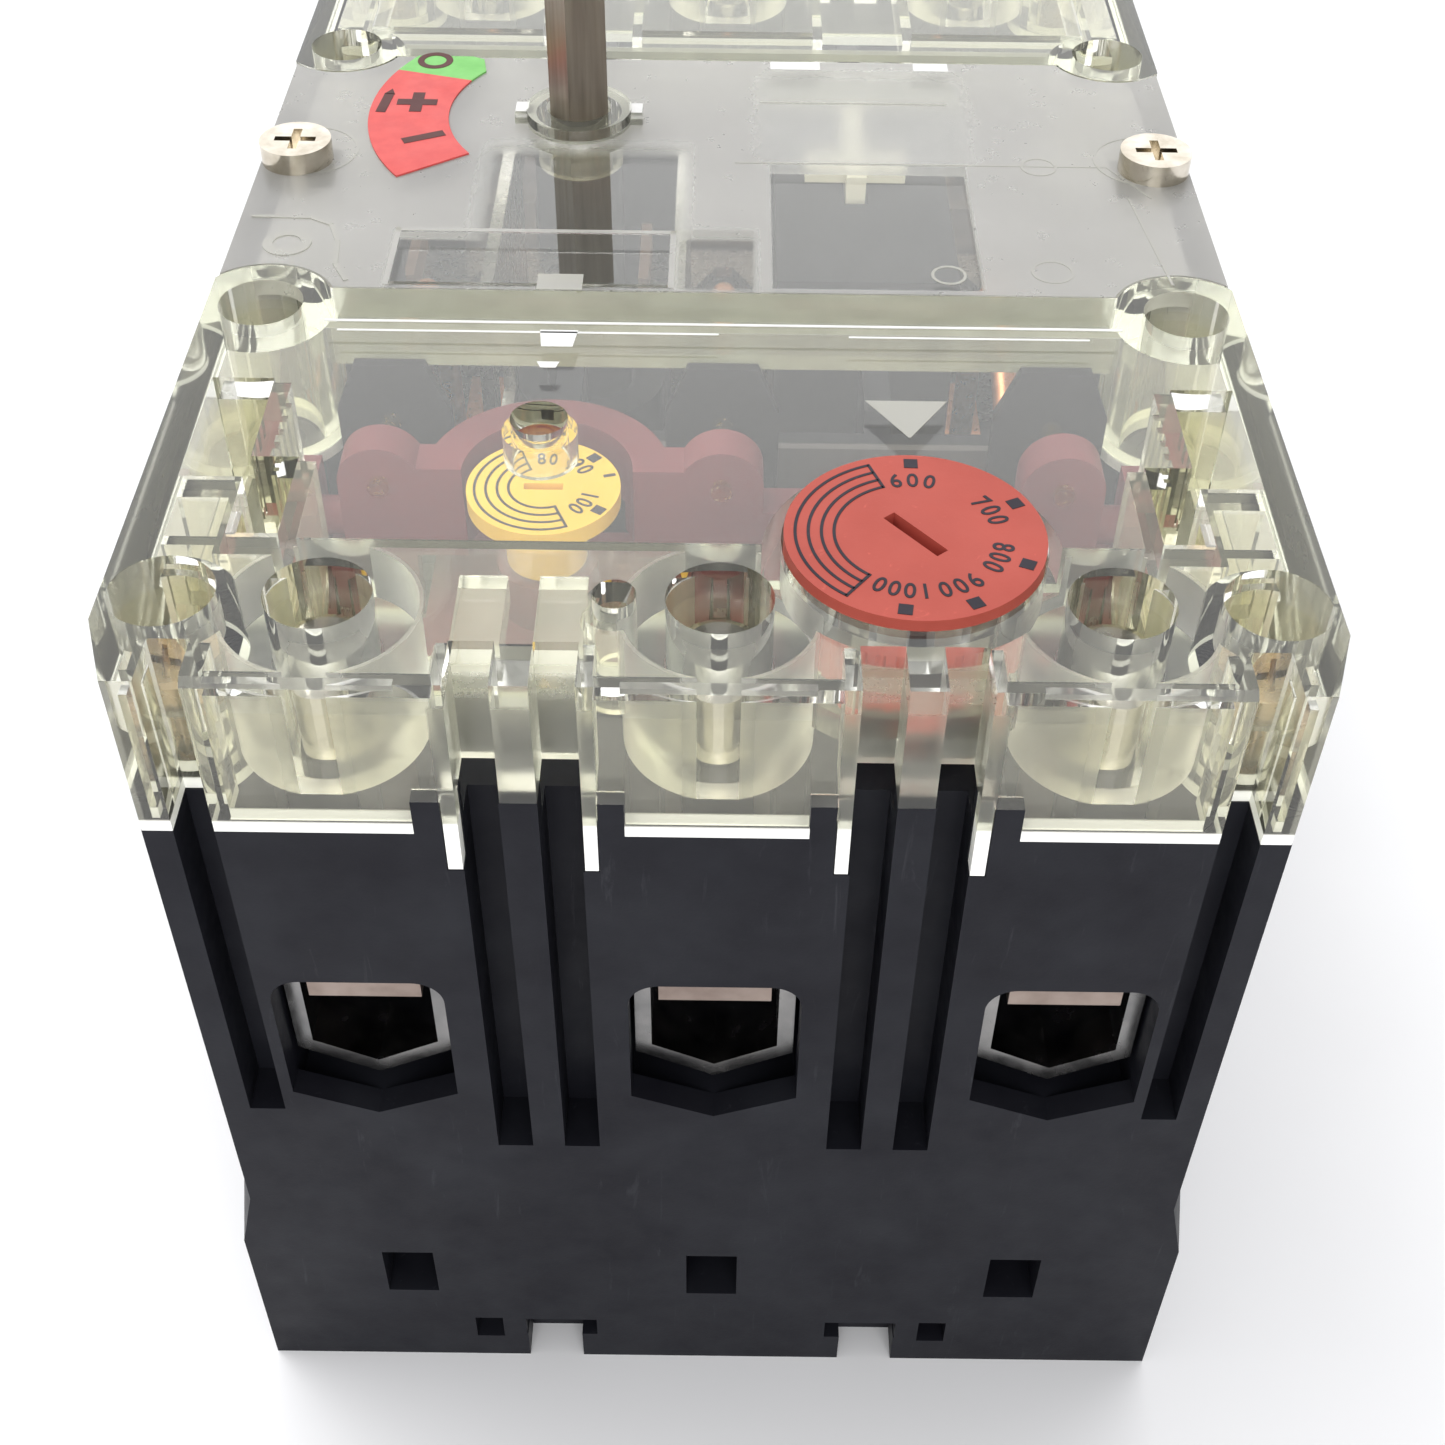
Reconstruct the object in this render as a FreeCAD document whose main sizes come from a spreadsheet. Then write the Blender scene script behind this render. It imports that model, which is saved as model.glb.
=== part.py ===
import FreeCAD, Part
import math
import os
import re

# Three-pole moulded case breaker: black base, two clear terminal covers, a clear
# front plate with a rotary square shaft, and the trip unit and switch mechanism.
# Row frame: origin at the centre of the mounting face, +Z towards the operator,
# +X across the poles, -Y the load end. Millimetres and degrees.

DRIVING = {
    # outer shapes
    "body_width": 104.0, "body_length": 172.0, "body_height": 92.3, "body_wall": 3.0,
    "corner_cut": 2.05, "corner_run": 7.5, "corner_low": 25.1, "corner_full": 33.6,
    "cover_width": 105.0, "cover_top": 110.0, "cover_skin": 3.0, "cover_wall": 3.2,
    "cover_split": 26.6, "cover_gap": 0.1, "land_top": 96.3,
    "pole_pitch": 34.1, "partition": 3.0,
    # terminal zone, measured from the end faces
    "well_inset": 11.3, "well_bore": 4.67, "well_tube": 8.5, "tube_bottom": 95.5,
    "corner_well": 47.3, "corner_bore": 4.63, "corner_tube": 6.3,
    "mount_spacing": 94.0, "mount_pitch": 59.0, "mount_hole": 2.25, "mount_bore": 4.3,
    "mount_tube": 7.2, "pocket_half": 8.4, "pocket_inner": 16.0, "pocket_floor": 50.2,
    "window_half": 8.3, "window_low": 53.6, "window_top": 71.4, "window_corner": 3.0,
    "bar_level": 65.5, "bar_thick": 3.0, "bar_half": 5.5, "bar_end": 3.0,
    # grooves and notches of the end faces
    "groove_near": 1.66, "groove_far": 5.27, "groove_deep": 6.0, "groove_floor": 44.5,
    "edge_groove_in": 43.6, "edge_groove_out": 47.2, "edge_groove_deep": 5.0,
    "edge_groove_floor": 50.6, "block_out": 43.6, "block_in": 26.3, "block_mid": 8.0,
    # compartments
    "trip_floor": 65.5, "switch_floor": 26.0, "contact_floor": 30.5, "cavity_end": 66.0,
    "trip_back": 28.0, "divider": 3.0, "divider_top": 90.0, "trip_ledge": 84.0,
    "mech_ledge": 52.0, "recess": 2.5, "post_radius": 3.8,
    # rotary drive
    "shaft_side": 5.0, "shaft_turn": 31.0, "shaft_top": 131.0, "hub_x": -17.1, "hub_y": 10.7,
    "drum_low": 66.0, "drum_thick": 7.0, "drum_radius": 9.5, "crank_radius": 7.0,
    "pin_radius": 1.5,
    "bar_y": 18.0, "bar_z": 42.0, "bar_radius": 6.0, "rest_tilt": 14.0, "lever_reach": 14.1,
    # trip unit
    "trip_y": -43.1, "trip_z": 92.0, "trip_deep": 4.2, "trip_top": 99.4, "lobe_radius": 4.2,
    "lobe_level": 97.5, "arch_inner": 8.5, "arch_outer": 12.2,
    "thermal_x": -17.3, "thermal_y": -49.0, "thermal_radius": 7.5, "thermal_top": 100.4,
    "magnetic_x": 16.95, "magnetic_y": -67.0, "magnetic_radius": 11.5, "magnetic_top": 111.0,
    # plate screws and label
    "plate_screw_x": 48.2, "plate_screw_y": 0.5, "head_radius": 4.0,
    "label_x": -15.0, "label_y": 12.2, "label_inner": 17.4, "label_outer": 26.7,
    "running": 0.06,
}
POLES = {"left": -1, "centre": 0, "right": 1}
ENDS = {"load": -1, "line": 1}
WORD = re.compile(r"[a-z][a-z_]*[a-z]")

document = FreeCAD.newDocument("case_breaker")
sheet = document.addObject("Spreadsheet::Sheet", "dims")
for row, (alias, value) in enumerate(DRIVING.items(), start=1):
    sheet.set("A%d" % row, alias)
    sheet.set("B%d" % row, repr(value))
    sheet.setAlias("B%d" % row, alias)
document.recompute()

subparts = []
counter = [0]


def size(alias):
    """The value of a driving dimension, read back from the sheet."""
    return float(sheet.get(alias))


def bound(text):
    """An expression on the sheet's cells, from words and plain numbers."""
    if isinstance(text, (int, float)):
        return repr(float(text))
    return "(" + WORD.sub(lambda found: "dims." + found.group(0), text) + ")"


def fresh(kind, stem):
    """A new document object with a name of its own."""
    counter[0] += 1
    return document.addObject(kind, "%s_%d" % (stem, counter[0]))


def place(item, x, y, z):
    """Bind an object's position to the sheet."""
    item.setExpression("Placement.Base.x", bound(x))
    item.setExpression("Placement.Base.y", bound(y))
    item.setExpression("Placement.Base.z", bound(z))
    return item


def box(x, y, z):
    """A box between two values on each axis."""
    item = fresh("Part::Box", "box")
    for prop, (low, high) in (("Length", x), ("Width", y), ("Height", z)):
        item.setExpression(prop, "%s - %s" % (bound(high), bound(low)))
    return place(item, x[0], y[0], z[0])


def rod(radius, x, y, z):
    """A cylinder; the axis that is given as a pair of values is its length."""
    item = fresh("Part::Cylinder", "rod")
    item.setExpression("Radius", bound(radius))
    turns = {"x": (FreeCAD.Vector(0, 1, 0), 90), "y": (FreeCAD.Vector(1, 0, 0), -90)}
    for name, span in (("x", x), ("y", y), ("z", z)):
        if isinstance(span, tuple):
            item.setExpression("Height", "%s - %s" % (bound(span[1]), bound(span[0])))
            if name in turns:
                item.Placement.Rotation = FreeCAD.Rotation(*turns[name])
    start = [span[0] if isinstance(span, tuple) else span for span in (x, y, z)]
    return place(item, *start)


def outline(points):
    """Sketch lines through the points; a point given as a pair of points is an arc's
    middle and its end."""
    sketch = fresh("Sketcher::SketchObject", "outline")
    last = FreeCAD.Vector(*points[-1][-1], 0) if isinstance(points[-1][0], tuple) else \
        FreeCAD.Vector(*points[-1], 0)
    for point in points:
        if isinstance(point[0], tuple):
            middle = FreeCAD.Vector(*point[0], 0)
            end = FreeCAD.Vector(*point[1], 0)
            sketch.addGeometry(Part.Arc(last, middle, end), False)
        else:
            end = FreeCAD.Vector(*point, 0)
            sketch.addGeometry(Part.LineSegment(last, end), False)
        last = end
    return sketch


def prism(axis, points, low, high):
    """An outline extruded along an axis between two values. The outline is drawn in
    XY for Z, in XZ for Y and in YZ for X."""
    sketch = outline(points)
    item = fresh("Part::Extrusion", "prism")
    item.Base = sketch
    item.Solid = True
    item.DirMode = "Normal"
    item.setExpression("LengthFwd", "%s - %s" % (bound(high), bound(low)))
    if axis == "Z":
        place(sketch, 0, 0, low)
    elif axis == "Y":
        sketch.Placement.Rotation = FreeCAD.Rotation(FreeCAD.Vector(1, 0, 0), 90)
        place(sketch, 0, high, 0)
    else:
        sketch.Placement.Rotation = FreeCAD.Rotation(FreeCAD.Vector(1, 1, 1), 120)
        place(sketch, low, 0, 0)
    return item


def join(*items):
    """One solid from several."""
    flat = [item for item in items if item is not None]
    fused = fresh("Part::MultiFuse", "joined")
    fused.Shapes = flat
    fused.Refine = True
    return fused


def cut(base, *tools):
    """A solid less its tools."""
    tool = tools[0] if len(tools) == 1 else join(*tools)
    made = fresh("Part::Cut", "cut")
    made.Base = base
    made.Tool = tool
    made.Refine = True
    return made


def group(items):
    """Several separate solids that make one node."""
    made = fresh("Part::Compound", "group")
    made.Links = items
    return made


def turned(item, angle, y, z):
    """Turn an object about an axis along X through (y, z)."""
    centre = FreeCAD.Vector(0, y, z)
    spin = FreeCAD.Rotation(FreeCAD.Vector(1, 0, 0), angle)
    item.Placement = FreeCAD.Placement(FreeCAD.Vector(), spin, centre)
    return item


def subpart(name, item):
    """Register a finished object as the sub-part of that name."""
    item.Label = name
    subparts.append((name, item))
    return item


def pole_x(pole, offset=0):
    """The expression for a place beside a pole's centre line."""
    return "%d * pole_pitch + %r" % (POLES[pole], float(offset))


def end_y(end, inset):
    """The expression for a place that far inside an end face."""
    return "%d * (body_length / 2 - (%s))" % (ENDS[end], inset)


def end_span(end, outer, inner):
    """The low and high Y of a stretch between two insets from an end face."""
    span = (end_y(end, outer), end_y(end, inner))
    return span if end == "load" else span[::-1]


def mirrored_span(low, high, side):
    """A stretch on one side of the middle plane."""
    if side > 0:
        return (low, high)
    return ("-(%s)" % high, "-(%s)" % low)


# ---------------------------------------------------------------- base housing

def corner_relief(side, end):
    """The corner that is cut back above the foot, run out on a slope."""
    half = size("body_width") / 2
    length = size("body_length") / 2
    cut_x = size("corner_cut")
    cut_y = size("corner_run")

    def section(part, level):
        corner = FreeCAD.Vector(side * half, end * length, level)
        along_x = corner + FreeCAD.Vector(-side * cut_x * part, 0, 0)
        along_y = corner + FreeCAD.Vector(0, -end * cut_y * part, 0)
        out_x = FreeCAD.Vector(side, 0, 0) * 0.5
        out_y = FreeCAD.Vector(0, end, 0) * 0.5
        ring = [corner + out_x + out_y, along_x + out_y, along_x, along_y, along_y + out_x]
        return Part.makePolygon(ring + ring[:1])

    low = size("corner_low")
    full = size("corner_full")
    top = size("body_height") + 10
    slope = Part.makeLoft([section(0.02, low), section(1, full)], True, True)
    straight = Part.makeLoft([section(1, full), section(1, top)], True, True)
    item = fresh("Part::Feature", "relief")
    item.Shape = slope.fuse(straight)
    return item


def window_outline(pole):
    """The conductor window: round upper corners and a shallow V at the bottom."""
    x = POLES[pole] * size("pole_pitch")
    half = size("window_half")
    low = size("window_low")
    top = size("window_top")
    bend = size("window_corner")
    slack = bend * (1 - math.sqrt(0.5))
    return [(x - half, low), (x, size("pocket_floor")), (x + half, low), (x + half, top - bend),
            ((x + half - slack, top - slack), (x + half - bend, top)), (x - half + bend, top),
            ((x - half + slack, top - slack), (x - half, top - bend))]


def end_features(end):
    """The cuts of one end: windows, terminal pockets, grooves, notches."""
    tools = []
    top = "body_height + 10"
    for pole in POLES:
        tools.append(box((pole_x(pole) + "- pocket_half", pole_x(pole) + "+ pocket_half"),
                         end_span(end, "2.8", "pocket_inner"), ("pocket_floor", top)))
        tools.append(prism("Y", window_outline(pole), *end_span(end, "-1", "4")))
        tools.append(box((pole_x(pole) + "- bar_half - 0.1", pole_x(pole) + "+ bar_half + 0.1"),
                         end_span(end, "pocket_inner - 1", "body_length / 2 - cavity_end + 1"),
                         ("bar_level", top)))
        tools.append(box((pole_x(pole, -2.85), pole_x(pole, 2.85)), end_span(end, "-1", "8"),
                         (14.7, 22.9)))
    for side in (-1, 1):
        middle = "%d * pole_pitch / 2" % side
        for low, high in ((" - groove_far", " - groove_near"), (" + groove_near", " + groove_far")):
            tools.append(box((middle + low, middle + high), end_span(end, "-1", "groove_deep"),
                             ("groove_floor", top)))
        tools.append(box(mirrored_span("edge_groove_in", "edge_groove_out", side),
                         end_span(end, "-1", "edge_groove_deep"), ("edge_groove_floor", top)))
        for low, high in ((10.3, 11.9), (22.2, 23.8)):
            tools.append(box(mirrored_span(low, high, side), end_span(end, "-1", "2"), (87.6, top)))
        tools.append(box(mirrored_span(13.4, 21.7, side), end_span(end, "-1", "4"), (5, 8.3)))
        tools.append(box(mirrored_span(15.2, 21.6, side), end_span(end, "-1", "4"), (-1, 6)))
        tools.append(box(mirrored_span(24.4, 27.6, side), end_span(end, "-1", "3"), (4.3, 8.5)))
        tools.append(corner_relief(side, ENDS[end]))
        tools.append(rod(1.75, "%d * corner_well" % side, end_y(end, "well_inset"),
                         ("body_height - 16", top)))
    return tools


def compartments():
    """The trip and switch compartments of the three poles."""
    tools = []
    inner = "body_width / 2 - body_wall"
    spans = {"left": ("-(%s)" % inner, "-(pole_pitch / 2 + partition / 2)"),
             "centre": ("-(pole_pitch / 2 - partition / 2)", "pole_pitch / 2 - partition / 2"),
             "right": ("pole_pitch / 2 + partition / 2", inner)}
    for x in spans.values():
        tools.append(box(x, ("-cavity_end", "-trip_back"), ("trip_floor", "body_height + 1")))
        tools.append(box(x, ("-trip_back + divider", 38), ("switch_floor", "body_height + 1")))
        tools.append(box(x, (37, "cavity_end"), ("contact_floor", "body_height + 1")))
    wide = ("-(%s)" % inner, inner)
    tools.append(box(wide, ("-trip_back - 1", "-trip_back + divider + 1"),
                     ("divider_top", "body_height + 1")))
    tools.append(box(wide, ("-cavity_end", "-trip_back"), ("trip_ledge", "body_height + 1")))
    tools.append(box(wide, (-14, 36), ("mech_ledge", "body_height + 1")))
    tools.append(box(wide, ("bar_y - bar_radius - running", "bar_y + bar_radius + running"),
                     ("bar_z", "body_height + 1")))
    tools.append(rod("bar_radius + running", wide, "bar_y", "bar_z"))
    return tools


def back_recesses():
    """Shallow recesses in the back, so that the base rests on ribs."""
    tools = []
    for pole in POLES:
        for low, high in ((-62, -31), (-22, -4), (0, 38), (44, 60)):
            tools.append(box((pole_x(pole, -10), pole_x(pole, 10)), (low, high), (-1, "recess")))
    return tools


def build_housing():
    """The black base: open boxes for the poles, posts for the screws."""
    half = "body_width / 2"
    base = box(("-" + half, half), ("-body_length / 2", "body_length / 2"), (0, "body_height"))
    hollow = cut(base, *(compartments() + back_recesses()))
    added = [hollow]
    for side in (-1, 1):
        for end in ENDS:
            low, high = end_span(end, "0", "body_wall - 0.2")
            added.append(box(mirrored_span("block_mid", "block_in", side), (low, high),
                             ("body_height - 1", "land_top")))
            added.append(rod("post_radius", "%d * mount_spacing / 2" % side,
                             "%d * mount_pitch / 2" % ENDS[end], (0, "body_height")))
        added.append(box(mirrored_span("plate_screw_x - 4", "body_width / 2 - 1", side),
                         ("plate_screw_y - 4", "plate_screw_y + 4"), (1, "body_height")))
    solid = join(*added)
    tools = end_features("load") + end_features("line")
    for side in (-1, 1):
        for end in ENDS:
            tools.append(rod("mount_hole", "%d * mount_spacing / 2" % side,
                             "%d * mount_pitch / 2" % ENDS[end], (-1, "body_height + 1")))
        tools.append(rod(1.75, "%d * plate_screw_x" % side, "plate_screw_y",
                         ("body_height - 14", "body_height + 1")))
    subpart("base_housing", cut(solid, *tools))


# ---------------------------------------------------------------- clear covers

def cover_outline(end):
    """Plan of a terminal cover, with long chamfers on its two outer corners."""
    sign = ENDS[end]
    half = size("cover_width") / 2
    far = size("body_length") / 2
    near = size("cover_split")
    cut_x = 2.6
    corner = size("corner_run")
    points = [(-half, near), (-half, far - corner), (-half + cut_x, far), (half - cut_x, far),
              (half, far - corner), (half, near)]
    return [(x, sign * y) for x, y in points]


def tube(radius, x, y, low):
    """A boss of a cover, from its top down to a level."""
    return rod(radius, x, y, (low, "cover_top"))


def cover_shell(end):
    """Top skin, outer walls and the cross walls of a terminal cover."""
    outer = prism("Z", cover_outline(end), "body_height", "cover_top")
    inner = "cover_width / 2 - cover_wall"
    under = ("body_height - 1", "cover_top - cover_skin")
    x = ("-(%s)" % inner, inner)
    hollow = [box(x, end_span(end, "body_wall", "19.2"), under),
              box(x, end_span(end, "20.4", "body_length / 2 - 30.9"), under)]
    shell = cut(outer, *hollow)
    inner_edge = tuple(sorted((ENDS[end] * 32.0, ENDS[end] * 26.0)))
    return cut(shell, box((-40, 40), inner_edge, ("body_height - 1", 102)))


def cover_bosses(end):
    """Tubes about the wells and walls about the barrier slots."""
    added = []
    for pole in POLES:
        added.append(tube("well_tube", pole_x(pole), end_y(end, "well_inset"), "tube_bottom"))
    for side in (-1, 1):
        x = "%d * corner_well" % side
        added.append(tube("corner_tube", x, end_y(end, "well_inset"), "body_height"))
        mount_x = "%d * mount_spacing / 2" % side
        added.append(tube("mount_tube", mount_x, "%d * mount_pitch / 2" % ENDS[end], "body_height"))
        added.append(box(mirrored_span(42.4, 48.6, side), end_span(end, "0", "6.4"),
                         ("body_height", "cover_top")))
        added.append(box(mirrored_span(10.4, 23.7, side), end_span(end, "0", "6.8"),
                         ("land_top", "cover_top")))
        if end == "line" or side < 0:
            for low, high in ((11.4, 15.6), (18.4, 22.6)):
                added.append(box(mirrored_span(low, high, side), end_span(end, "6", "15.6"),
                                 (104, "cover_top")))
        for low, high in ((10.4, 11.8), (22.3, 23.7)):
            added.append(box(mirrored_span(low, high, side), end_span(end, "0", "1.8"),
                             (87.75, "land_top + 1")))
    return added


def cover_cuts(end):
    """Wells, barrier slots and the raised lower edge between the blocks."""
    tools = []
    above = "cover_top + 2"
    for pole in POLES:
        tools.append(rod("well_bore", pole_x(pole), end_y(end, "well_inset"), (80, above)))
    for side in (-1, 1):
        x = "%d * corner_well" % side
        y = end_y(end, "well_inset")
        tools.append(rod("corner_bore", x, y, (100.2, above)))
        tools.append(rod(2.2, x, y, (80, above)))
        tools.append(rod("mount_bore", "%d * mount_spacing / 2" % side,
                         "%d * mount_pitch / 2" % ENDS[end], (80, above)))
        tools.append(box(mirrored_span("edge_groove_in", "edge_groove_out", side),
                         end_span(end, "-1", "5.2"), (80, above)))
        tools.append(box(mirrored_span("block_mid", 10.4, side), end_span(end, "-1", "body_wall + 0.2"),
                         (80, "land_top")))
        tools.append(box(mirrored_span(11.8, 22.3, side), end_span(end, "-1", "body_wall + 0.2"),
                         (80, "land_top")))
        tools.append(box(mirrored_span(23.7, "block_in", side),
                         end_span(end, "-1", "body_wall + 0.2"), (80, "land_top")))
        for low, high in ((11.6, 15.4), (18.6, 22.4)):
            tools.append(box(mirrored_span(low, high, side), end_span(end, "-1", "5.4"), (80, above)))
        tools.append(box(mirrored_span(10.3, 11.8, side), end_span(end, "1.8", "5"), (80, "land_top")))
        tools.append(box(mirrored_span(22.3, 23.8, side), end_span(end, "1.8", "5"), (80, "land_top")))
    return tools


def side_pockets(side):
    """The stepped pockets beside the trip unit: walls to add and hollows to cut."""
    walls = [box(mirrored_span(42.0, 50.0, side), (-60.0, -41.8), (97, "cover_top")),
             box(mirrored_span(37.6, 44.6, side), (-68.0, -54.4), (97, "cover_top"))]
    hollows = [box(mirrored_span(43.2, 49.2, side), (-58.7, -43.0), (98.2, "cover_top + 1")),
               box(mirrored_span(38.8, 43.4, side), (-66.8, -55.6), (98.2, "cover_top + 1"))]
    for step in range(5):
        low = -46.2 - 2.1 * step
        walls.append(box(mirrored_span(41.4, 42.2, side), (low, low + 1.0), (99, "cover_top - 1")))
    return walls, hollows


def side_trims():
    """Cuts that keep the round bosses inside the cover's width."""
    return [box(mirrored_span("cover_width / 2", "cover_width / 2 + 5", side), (-100, 100), (80, 120))
            for side in (-1, 1)]


def front_chamfers(end):
    """Bevels along the outer top edges of the three blocks."""
    far = size("body_length") / 2 * ENDS[end]
    step = -0.7 * ENDS[end]
    top = size("cover_top")
    points = [(far + 0.2 * ENDS[end], top - 0.7), (far, top - 0.7), (far + step, top),
              (far + step, top + 0.5), (far + 0.2 * ENDS[end], top + 0.5)]
    spans = (("-block_out", "-block_in"), ("-block_mid", "block_mid"), ("block_in", "block_out"))
    return [prism("X", points, low, high) for low, high in spans]


def build_load_cover():
    """The clear cover of the load end, with the setting dials' openings."""
    added = [cover_shell("load")] + cover_bosses("load")
    tools = cover_cuts("load") + front_chamfers("load")
    for side in (-1, 1):
        walls, hollows = side_pockets(side)
        added += walls
        tools += hollows
    tools += side_trims()
    added.append(tube(3.0, -9.0, -74.4, 100))
    tools.append(rod(1.9, -9.0, -74.4, (98, "cover_top + 1")))
    added.append(tube(3.6, "thermal_x", "thermal_y", 103.8))
    tools.append(rod(2.75, "thermal_x", "thermal_y", (98, "cover_top + 1")))
    added.append(tube("magnetic_radius + 1.9", "magnetic_x", "magnetic_y", 98.6))
    tools.append(rod("magnetic_radius + 0.2", "magnetic_x", "magnetic_y", (100.6, "cover_top + 1")))
    tools.append(rod("3 + running", "magnetic_x", "magnetic_y", (90, "cover_top + 1")))
    solid = join(*added)
    subpart("load_cover", cut(solid, *tools))


def build_line_cover():
    """The clear cover of the line end, with vent frames over the arc chambers."""
    added = [cover_shell("line")] + cover_bosses("line")
    tools = cover_cuts("line") + front_chamfers("line") + side_trims()
    for pole in POLES:
        x = (pole_x(pole, -12), pole_x(pole, 12))
        added.append(box(x, (35, 63), (103, "cover_top")))
        tools.append(box((pole_x(pole, -10.8), pole_x(pole, 10.8)), (36.2, 61.8),
                         (102, "cover_top - 2")))
    solid = join(*added)
    subpart("line_cover", cut(solid, *tools))


def build_front_plate():
    """The clear plate between the covers, a channel with side walls."""
    half = "cover_width / 2 - 0.3"
    near = "cover_split - cover_gap - 0.1"
    outer = box(("-(%s)" % half, half), ("-(%s)" % near, near), ("body_height", "cover_top"))
    inner = "cover_width / 2 - 3.3"
    hollow = box(("-(%s)" % inner, inner), (-30, 30), ("body_height - 1", "cover_top - cover_skin"))
    added = [cut(outer, hollow)]
    tools = [rod(5.0, "hub_x", "hub_y", (90, "cover_top + 1"))]
    for side in (-1, 1):
        x = mirrored_span("plate_screw_x - 4.4", "cover_width / 2 - 1", side)
        y = ("plate_screw_y - 4.4", "plate_screw_y + 4.4")
        added.append(box(x, y, ("body_height", "cover_top")))
        tools.append(rod(2.1, "%d * plate_screw_x" % side, "plate_screw_y",
                         ("body_height - 1", "cover_top + 1")))
        for end in ENDS.values():
            tools.append(rod("mount_tube + 0.3", "%d * mount_spacing / 2" % side,
                             "%d * mount_pitch / 2" % end, ("body_height - 1", "cover_top + 1")))
    engraved = ("cover_top - 0.3", "cover_top + 1")
    for x, y in (((-35.2, -5.2), (-25.8, -25.2)), ((-35.2, -5.2), (-15.0, -14.4)),
                 ((-35.2, -34.6), (-25.8, -14.4)), ((-5.8, -5.2), (-25.8, -14.4))):
        tools.append(box(x, y, engraved))
    subpart("front_plate", cut(join(*added), *tools))


# ---------------------------------------------------------------- fasteners and label

def pan_head(x, y, seat, head, rise, shank, tip):
    """A cross-recess pan head screw standing on a seat, pointing down."""
    screw = join(rod(head, x, y, (seat, seat + rise)), rod(shank, x, y, (tip, seat)))
    cross = [box((x + "- 2.3", x + "+ 2.3"), (y + "- 0.5", y + "+ 0.5"), (seat + rise - 1.4, 200)),
             box((x + "- 0.5", x + "+ 0.5"), (y + "- 2.3", y + "+ 2.3"), (seat + rise - 1.4, 200))]
    return cut(screw, *cross)


def build_screws():
    """Plate screws in the middle and cover screws in the corner wells."""
    plate = [pan_head("%d * plate_screw_x " % side, "plate_screw_y ", 110.0, "head_radius", 2.4,
                      1.75, 79.0) for side in (-1, 1)]
    subpart("plate_screws", group(plate))
    for end in ENDS:
        corner = [pan_head("%d * corner_well " % side, end_y(end, "well_inset") + " ", 100.2, 3.9,
                           2.6, 1.75, 77.0) for side in (-1, 1)]
        subpart(end + "_cover_screws", group(corner))


def build_label():
    """The printed position label, an arc on the plate beside the shaft."""
    inner = size("label_inner")
    outer = size("label_outer")
    x = size("label_x")
    y = size("label_y")

    def at(radius, angle):
        turn = math.radians(angle)
        return (x + radius * math.cos(turn), y + radius * math.sin(turn))

    points = [at(outer, 148), (at(outer, 180), at(outer, 216)), at(inner, 216),
              (at(inner, 180), at(inner, 144)), (-29.6, 25.6), (-31.0, 26.3)]
    subpart("position_label", prism("Z", points, "cover_top", "cover_top + 0.2"))


# ---------------------------------------------------------------- terminals

def build_cage(end, pole):
    """The steel clamp cage: a closed frame with a V floor and a threaded roof."""
    x = POLES[pole] * size("pole_pitch")

    def frame_points(half, apex, shoulder, top):
        return [(x - half, shoulder), (x, apex), (x + half, shoulder), (x + half, top),
                (x - half, top)]

    y = end_span(end, "3.4", "15.2")
    outer = prism("Y", frame_points(7.9, 52.6, 56.6, 75.0), *y)
    low, high = end_span(end, "2", "17")
    inner = prism("Y", frame_points(6.3, 54.5, 57.7, 71.6), low, high)
    thread = rod("3 + running", pole_x(pole), end_y(end, "well_inset"), (70, 76))
    subpart("%s_cage_%s" % (end, pole), cut(outer, inner, thread))


def build_terminal_screw(end, pole):
    """The clamp screw: domed head in the cover's well, shank bearing on the bar."""
    x = pole_x(pole)
    y = end_y(end, "well_inset")
    head = rod(3.9, x, y, (97, 104.6))
    dome = fresh("Part::Sphere", "dome")
    dome.Radius = 8.0
    place(dome, x, y, 97.2)
    shank = rod(3.0, x, y, ("bar_level + bar_thick", 98))
    slot = box((x + "- 5", x + "+ 5"), (y + "- 0.6", y + "+ 0.6"), (103.0, 110))
    blank = fresh("Part::Common", "head")
    blank.Base = head
    blank.Tool = dome
    subpart("%s_screw_%s" % (end, pole), cut(join(blank, shank), slot))


# ---------------------------------------------------------------- current path

def build_load_bar(pole):
    """Load terminal bar with the upturned tab that carries the bimetal."""
    x = (pole_x(pole) + "- bar_half", pole_x(pole) + "+ bar_half")
    flat = box(x, ("-body_length / 2 + bar_end", -29.5), ("bar_level", "bar_level + bar_thick"))
    tab = box(x, (-36.2, -33.2), ("bar_level + bar_thick", 78))
    subpart("load_bar_" + pole, join(flat, tab))


def build_bimetal(pole):
    """The bimetal strip, chamfered at its free top end."""
    x = POLES[pole] * size("pole_pitch")
    points = [(x - 5.9, 68.5), (x + 5.9, 68.5), (x + 5.9, 98.0), (x + 3.6, 103.4), (x - 3.6, 103.4),
              (x - 5.9, 98.0)]
    subpart("bimetal_" + pole, prism("Y", points, -33.2, -32.0))


def build_line_bar(pole):
    """Line terminal bar: in from the clamp, down, and back under the contact."""
    thick = size("bar_thick")
    level = size("bar_level")
    floor = size("contact_floor")
    end = size("body_length") / 2 - size("bar_end")
    points = [(40.0, floor), (65.5, floor), (65.5, level), (end, level), (end, level + thick),
              (62.5, level + thick), (62.5, floor + thick), (40.0, floor + thick)]
    bar = prism("X", points, pole_x(pole) + "- bar_half", pole_x(pole) + "+ bar_half")
    subpart("line_bar_" + pole, bar)


def build_contacts():
    """Fixed contact tips on the line bars."""
    tips = [box((pole_x(pole, -3.5), pole_x(pole, 3.5)), (41.5, 47),
                ("contact_floor + bar_thick", "contact_floor + bar_thick + 2.4")) for pole in POLES]
    subpart("fixed_contacts", group(tips))


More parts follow.
